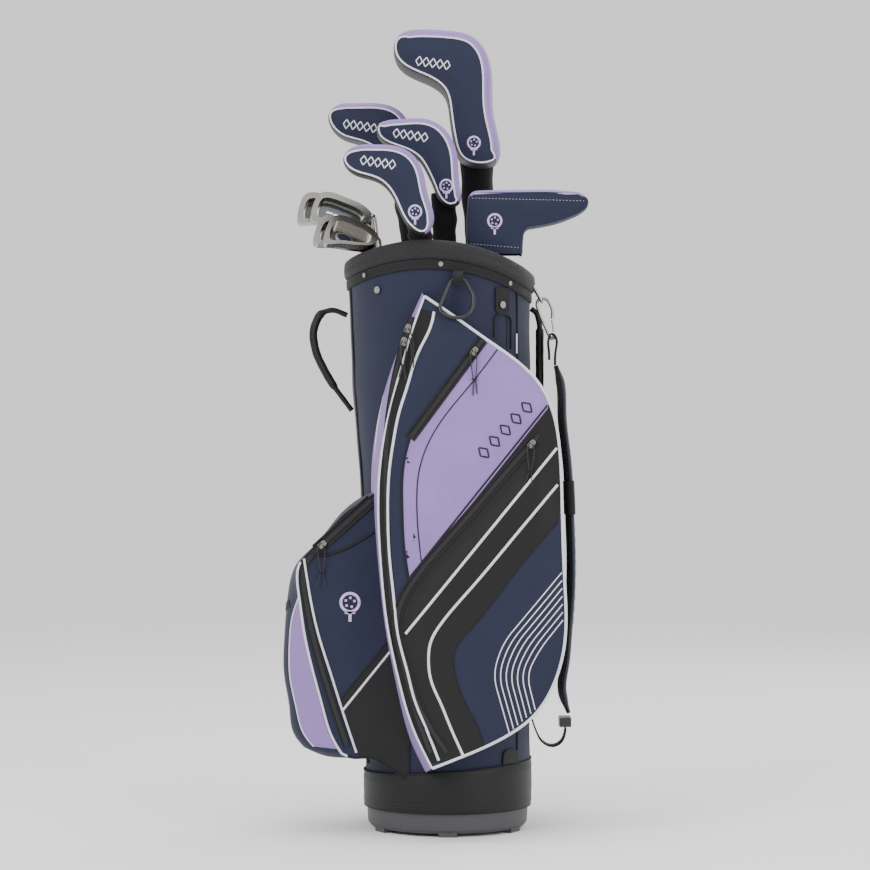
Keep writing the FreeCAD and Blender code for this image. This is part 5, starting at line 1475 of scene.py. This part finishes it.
IRON_OUTLINE = [(15, 6), (28, .5), (56, -1.5), (80, -.5), (93, 7), (96, 22), (94, 40), (88, 51), (72, 46),
                (50, 38), (26, 30), (13, 22)]
IRON_FORMS = {"iron_six": (926, 29, 1.0), "iron_seven": (914, 32, 1.0), "iron_nine": (874, 34, 0.98),
              "wedge": (875, 36, 0.86)}


def iron_back(club):
    """Surface function on an iron's cavity floor: (toe-wards, up the face)."""
    length, loft, stretch = IRON_FORMS[club]
    rise, tilt = math.radians(28), math.radians(loft)
    toe = np.array([-math.cos(rise), 0.0, math.sin(rise)])
    flat_down = np.array([-math.sin(rise), 0.0, -math.cos(rise)])
    down = flat_down * math.cos(tilt) + np.array([0.0, -math.sin(tilt), 0.0])
    back = np.array([0.0, -math.cos(tilt), 0.0]) - flat_down * math.sin(tilt)
    origin = np.array([0.0, 4.5, length - 61.0]) + flat_down * -23.3
    slot, butt = CLUB_LINES[club]
    way = Vector((slot[0] - butt[0], slot[1] - butt[1], RIM_Z - BUTT_Z)).normalized()
    turn = np.array(Vector((0, 0, 1)).rotation_difference(way).to_matrix())
    foot = np.array([butt[0], butt[1], BUTT_Z])

    def place(flat, lift):
        flat = np.asarray(flat, float)
        local = origin + flat[:, :1] * toe + flat[:, 1:] * down + (4.0 + lift) * back
        return local @ turn.T + foot
    return place


def build_clubs():
    """Heads and shafts keep their solids; the irons' backs get their badges."""
    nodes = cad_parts
    clad("graphite shaft and rubber grip", *[n for n in nodes if n.endswith("_shaft")])
    clad("titanium, gloss navy paint", "driver_head", "fairway_wood_head", "hybrid_four_head", "hybrid_five_head")
    clad("cast steel, satin nickel plated", "putter_head", "iron_six_head", "iron_seven_head", "iron_nine_head",
         "wedge_head")
    for club, (_, _, stretch) in IRON_FORMS.items():
        place = iron_back(club)
        middle = np.array([58 * stretch, 24.5])
        outline = (np.array(IRON_OUTLINE, float) * (stretch, 1) - middle) * (0.74, 0.58) + middle
        if club == "wedge":
            ring = middle + (4, 2) + np.stack([np.cos(round_angles(40)) * 13, np.sin(round_angles(40)) * 8], axis=1)
            patch(club + "_medallion", ring, place, "badge, bright aluminium", step=4.0, lift=0.5, thickness=1.0,
                  body=club, slot="iron_plate")
            inner = middle + (4, 2) + np.stack([np.cos(round_angles(40)) * 10.5, np.sin(round_angles(40)) * 6],
                                               axis=1)
            patch(club + "_enamel", inner, place, "badge, dark enamel", step=4.0, lift=1.0, thickness=0.8,
                  body=club, slot="iron_plate")
            continue
        edge = smooth(outline, step=4.0, closed=True)
        patch(club + "_badge", edge, place, "badge, dark enamel", step=6.0, lift=0.4, thickness=0.8, body=club,
              slot="iron_plate")
        low, high = edge.min(axis=0), edge.max(axis=0)
        bars = []
        for t, wide, tall in ((0.30, 10, 4), (0.52, 15, 5), (0.74, 9, 4)):
            spot = np.array([low[0] + (high[0] - low[0]) * t, middle[1] + 1.5])
            corners = [spot + (-wide / 2, -tall / 2), spot + (wide / 2, -tall / 2 + 1), spot + (wide / 2, tall / 2),
                       spot + (-wide / 2, tall / 2 - 1)]
            bars.append((place(corners, 1.1), [(0, 1, 2, 3)], np.array(corners)))
        piece(club + "_badge_bars", joined(bars), "badge, bright aluminium", body=club, slot="iron_plate",
              thickness=0.6)


# ---- stage ---------------------------------------------------------------------------


def build_stage():
    """Camera, a flat pale paper floor and soft lights."""
    bpy.ops.object.select_all(action="DESELECT")
    bpy.ops.object.camera_add(location=(-0.0181, -4.0, 0.5675), rotation=(math.pi / 2, 0, 0))
    camera = bpy.context.object
    camera.name = "view_camera"
    camera.data.sensor_width = 36
    camera.data.lens = 114.15
    bpy.context.scene.camera = camera

    bpy.ops.mesh.primitive_plane_add(size=1)
    sweep = bpy.context.object
    sweep.name = "studio_sweep"
    sweep.scale = (14, 9, 1)
    bpy.ops.object.transform_apply(location=False, rotation=False, scale=True)
    bpy.ops.object.mode_set(mode="EDIT")
    bpy.ops.mesh.select_all(action="SELECT")
    bpy.ops.object.mode_set(mode="OBJECT")
    sweep.data.materials.append(stage_finish())

    world = bpy.data.worlds.new("studio")
    world.use_nodes = True
    world.node_tree.nodes["Background"].inputs[0].default_value = (1.0, 1.0, 1.0, 1.0)
    world.node_tree.nodes["Background"].inputs[1].default_value = 1.1
    bpy.context.scene.world = world
    for name, place, aim, size, power in (
            ("key", (-2.2, -2.6, 2.6), (0, 0, 0.6), 1.8, 80.0),
            ("fill", (2.6, -2.4, 1.4), (0, 0, 0.6), 2.2, 44.0),
            ("top", (0.2, -0.2, 3.2), (0, 0, 0.9), 2.0, 40.0),
            ("rim", (2.0, 2.4, 2.2), (0, 0, 0.7), 1.6, 30.0)):
        bpy.ops.object.light_add(type="AREA", location=place)
        light = bpy.context.object
        light.name = name + "_light"
        light.data.shape = "DISK"
        light.data.size = size
        light.data.energy = power
        light.rotation_euler = (Vector(aim) - Vector(place)).to_track_quat("-Z", "Y").to_euler()


def stage_finish():
    """Matt paper, a little mottled."""
    material, tree = new_material("studio paper")
    place = add_node(tree, "ShaderNodeTexCoord").outputs["Object"]
    grain = add_node(tree, "ShaderNodeTexNoise", {"Vector": place, "Scale": 3.0, "Detail": 2.0})
    tint = add_node(tree, "ShaderNodeMix", {0: grain.outputs["Fac"], 6: (0.90, 0.90, 0.90, 1),
                                            7: (0.93, 0.93, 0.93, 1)}, data_type="RGBA")
    close_material(tree, {"Base Color": tint.outputs[2], "Roughness": 0.9, "Specular IOR Level": 0.1},
                   grain.outputs["Fac"], 0.0002)
    return material


# ---- operators, panel and main -------------------------------------------------------


class GOLF_OT_stage(bpy.types.Operator):
    """Set up the camera, the flat paper floor and the lights"""
    bl_idname = "golf.stage"
    bl_label = "Stage"

    def execute(self, context):
        build_stage()
        return {"FINISHED"}


class GOLF_OT_pull_cords(bpy.types.Operator):
    """Make the zips' braided pull cords and their knots"""
    bl_idname = "golf.pull_cords"
    bl_label = "Pull cords"

    def execute(self, context):
        build_pull_cords()
        return {"FINISHED"}


class GOLF_OT_base(bpy.types.Operator):
    """Finish the base and divider and sew the skirt"""
    bl_idname = "golf.base"
    bl_label = "Base and skirt"

    def execute(self, context):
        build_base()
        return {"FINISHED"}


class GOLF_OT_tube(bpy.types.Operator):
    """Sew the bag's body cloth and its tabs"""
    bl_idname = "golf.tube"
    bl_label = "Body"

    def execute(self, context):
        build_tube()
        return {"FINISHED"}


class GOLF_OT_cuff(bpy.types.Operator):
    """Make the padded mesh rim and its band"""
    bl_idname = "golf.cuff"
    bl_label = "Rim cuff"

    def execute(self, context):
        build_cuff()
        return {"FINISHED"}


class GOLF_OT_side_pockets(bpy.types.Operator):
    """Sew both side pockets with their coloured panels and piping"""
    bl_idname = "golf.side_pockets"
    bl_label = "Side pockets"

    def execute(self, context):
        build_side_pockets()
        return {"FINISHED"}


class GOLF_OT_ball_pocket(bpy.types.Operator):
    """Sew the ball pocket"""
    bl_idname = "golf.ball_pocket"
    bl_label = "Ball pocket"

    def execute(self, context):
        build_ball_pocket()
        return {"FINISHED"}


class GOLF_OT_zips(bpy.types.Operator):
    """Lay the zip tapes and coils and finish the sliders"""
    bl_idname = "golf.zips"
    bl_label = "Zips"

    def execute(self, context):
        build_zips()
        return {"FINISHED"}


class GOLF_OT_handles(bpy.types.Operator):
    """Make the two carrying handles"""
    bl_idname = "golf.handles"
    bl_label = "Handles"

    def execute(self, context):
        build_handles()
        return {"FINISHED"}


class GOLF_OT_strap(bpy.types.Operator):
    """Make the shoulder strap and finish its hardware"""
    bl_idname = "golf.strap"
    bl_label = "Shoulder strap"

    def execute(self, context):
        build_strap()
        return {"FINISHED"}


class GOLF_OT_headcovers(bpy.types.Operator):
    """Make the five headcovers"""
    bl_idname = "golf.headcovers"
    bl_label = "Headcovers"

    def execute(self, context):
        build_headcovers()
        return {"FINISHED"}


class GOLF_OT_clubs(bpy.types.Operator):
    """Finish the clubs and fit the irons' badges"""
    bl_idname = "golf.clubs"
    bl_label = "Clubs"

    def execute(self, context):
        build_clubs()
        return {"FINISHED"}


OPERATORS = (GOLF_OT_stage, GOLF_OT_pull_cords, GOLF_OT_base, GOLF_OT_tube, GOLF_OT_cuff,
             GOLF_OT_side_pockets, GOLF_OT_ball_pocket, GOLF_OT_zips, GOLF_OT_handles, GOLF_OT_strap,
             GOLF_OT_headcovers, GOLF_OT_clubs)


class GOLF_PT_panel(bpy.types.Panel):
    """Colours, sizes and one button for each part of the set"""
    bl_idname = "GOLF_PT_panel"
    bl_label = "Golf Bag"
    bl_space_type = "VIEW_3D"
    bl_region_type = "UI"
    bl_category = "Golf Bag"

    def draw(self, context):
        column = self.layout.column(align=True)
        for owner in (context.scene.golf_bag_colours, context.scene.golf_bag_sizes):
            for key in owner.bl_rna.properties.keys():
                if key not in {"rna_type", "name"}:
                    column.prop(owner, key)
        for operator in OPERATORS:
            column.operator(operator.bl_idname)


def register():
    for group in (BagColours, BagSizes, *OPERATORS, GOLF_PT_panel):
        bpy.utils.register_class(group)
    bpy.types.Scene.golf_bag_colours = PointerProperty(type=BagColours)
    bpy.types.Scene.golf_bag_sizes = PointerProperty(type=BagSizes)


def unregister():
    del bpy.types.Scene.golf_bag_sizes
    del bpy.types.Scene.golf_bag_colours
    for group in reversed((BagColours, BagSizes, *OPERATORS, GOLF_PT_panel)):
        bpy.utils.unregister_class(group)


def main():
    register()
    bpy.ops.golf.stage()
    bpy.ops.golf.pull_cords()
    bpy.ops.golf.base()
    bpy.ops.golf.tube()
    bpy.ops.golf.cuff()
    bpy.ops.golf.side_pockets()
    bpy.ops.golf.ball_pocket()
    bpy.ops.golf.zips()
    bpy.ops.golf.handles()
    bpy.ops.golf.strap()
    bpy.ops.golf.headcovers()
    bpy.ops.golf.clubs()


if __name__ == "__main__":
    main()
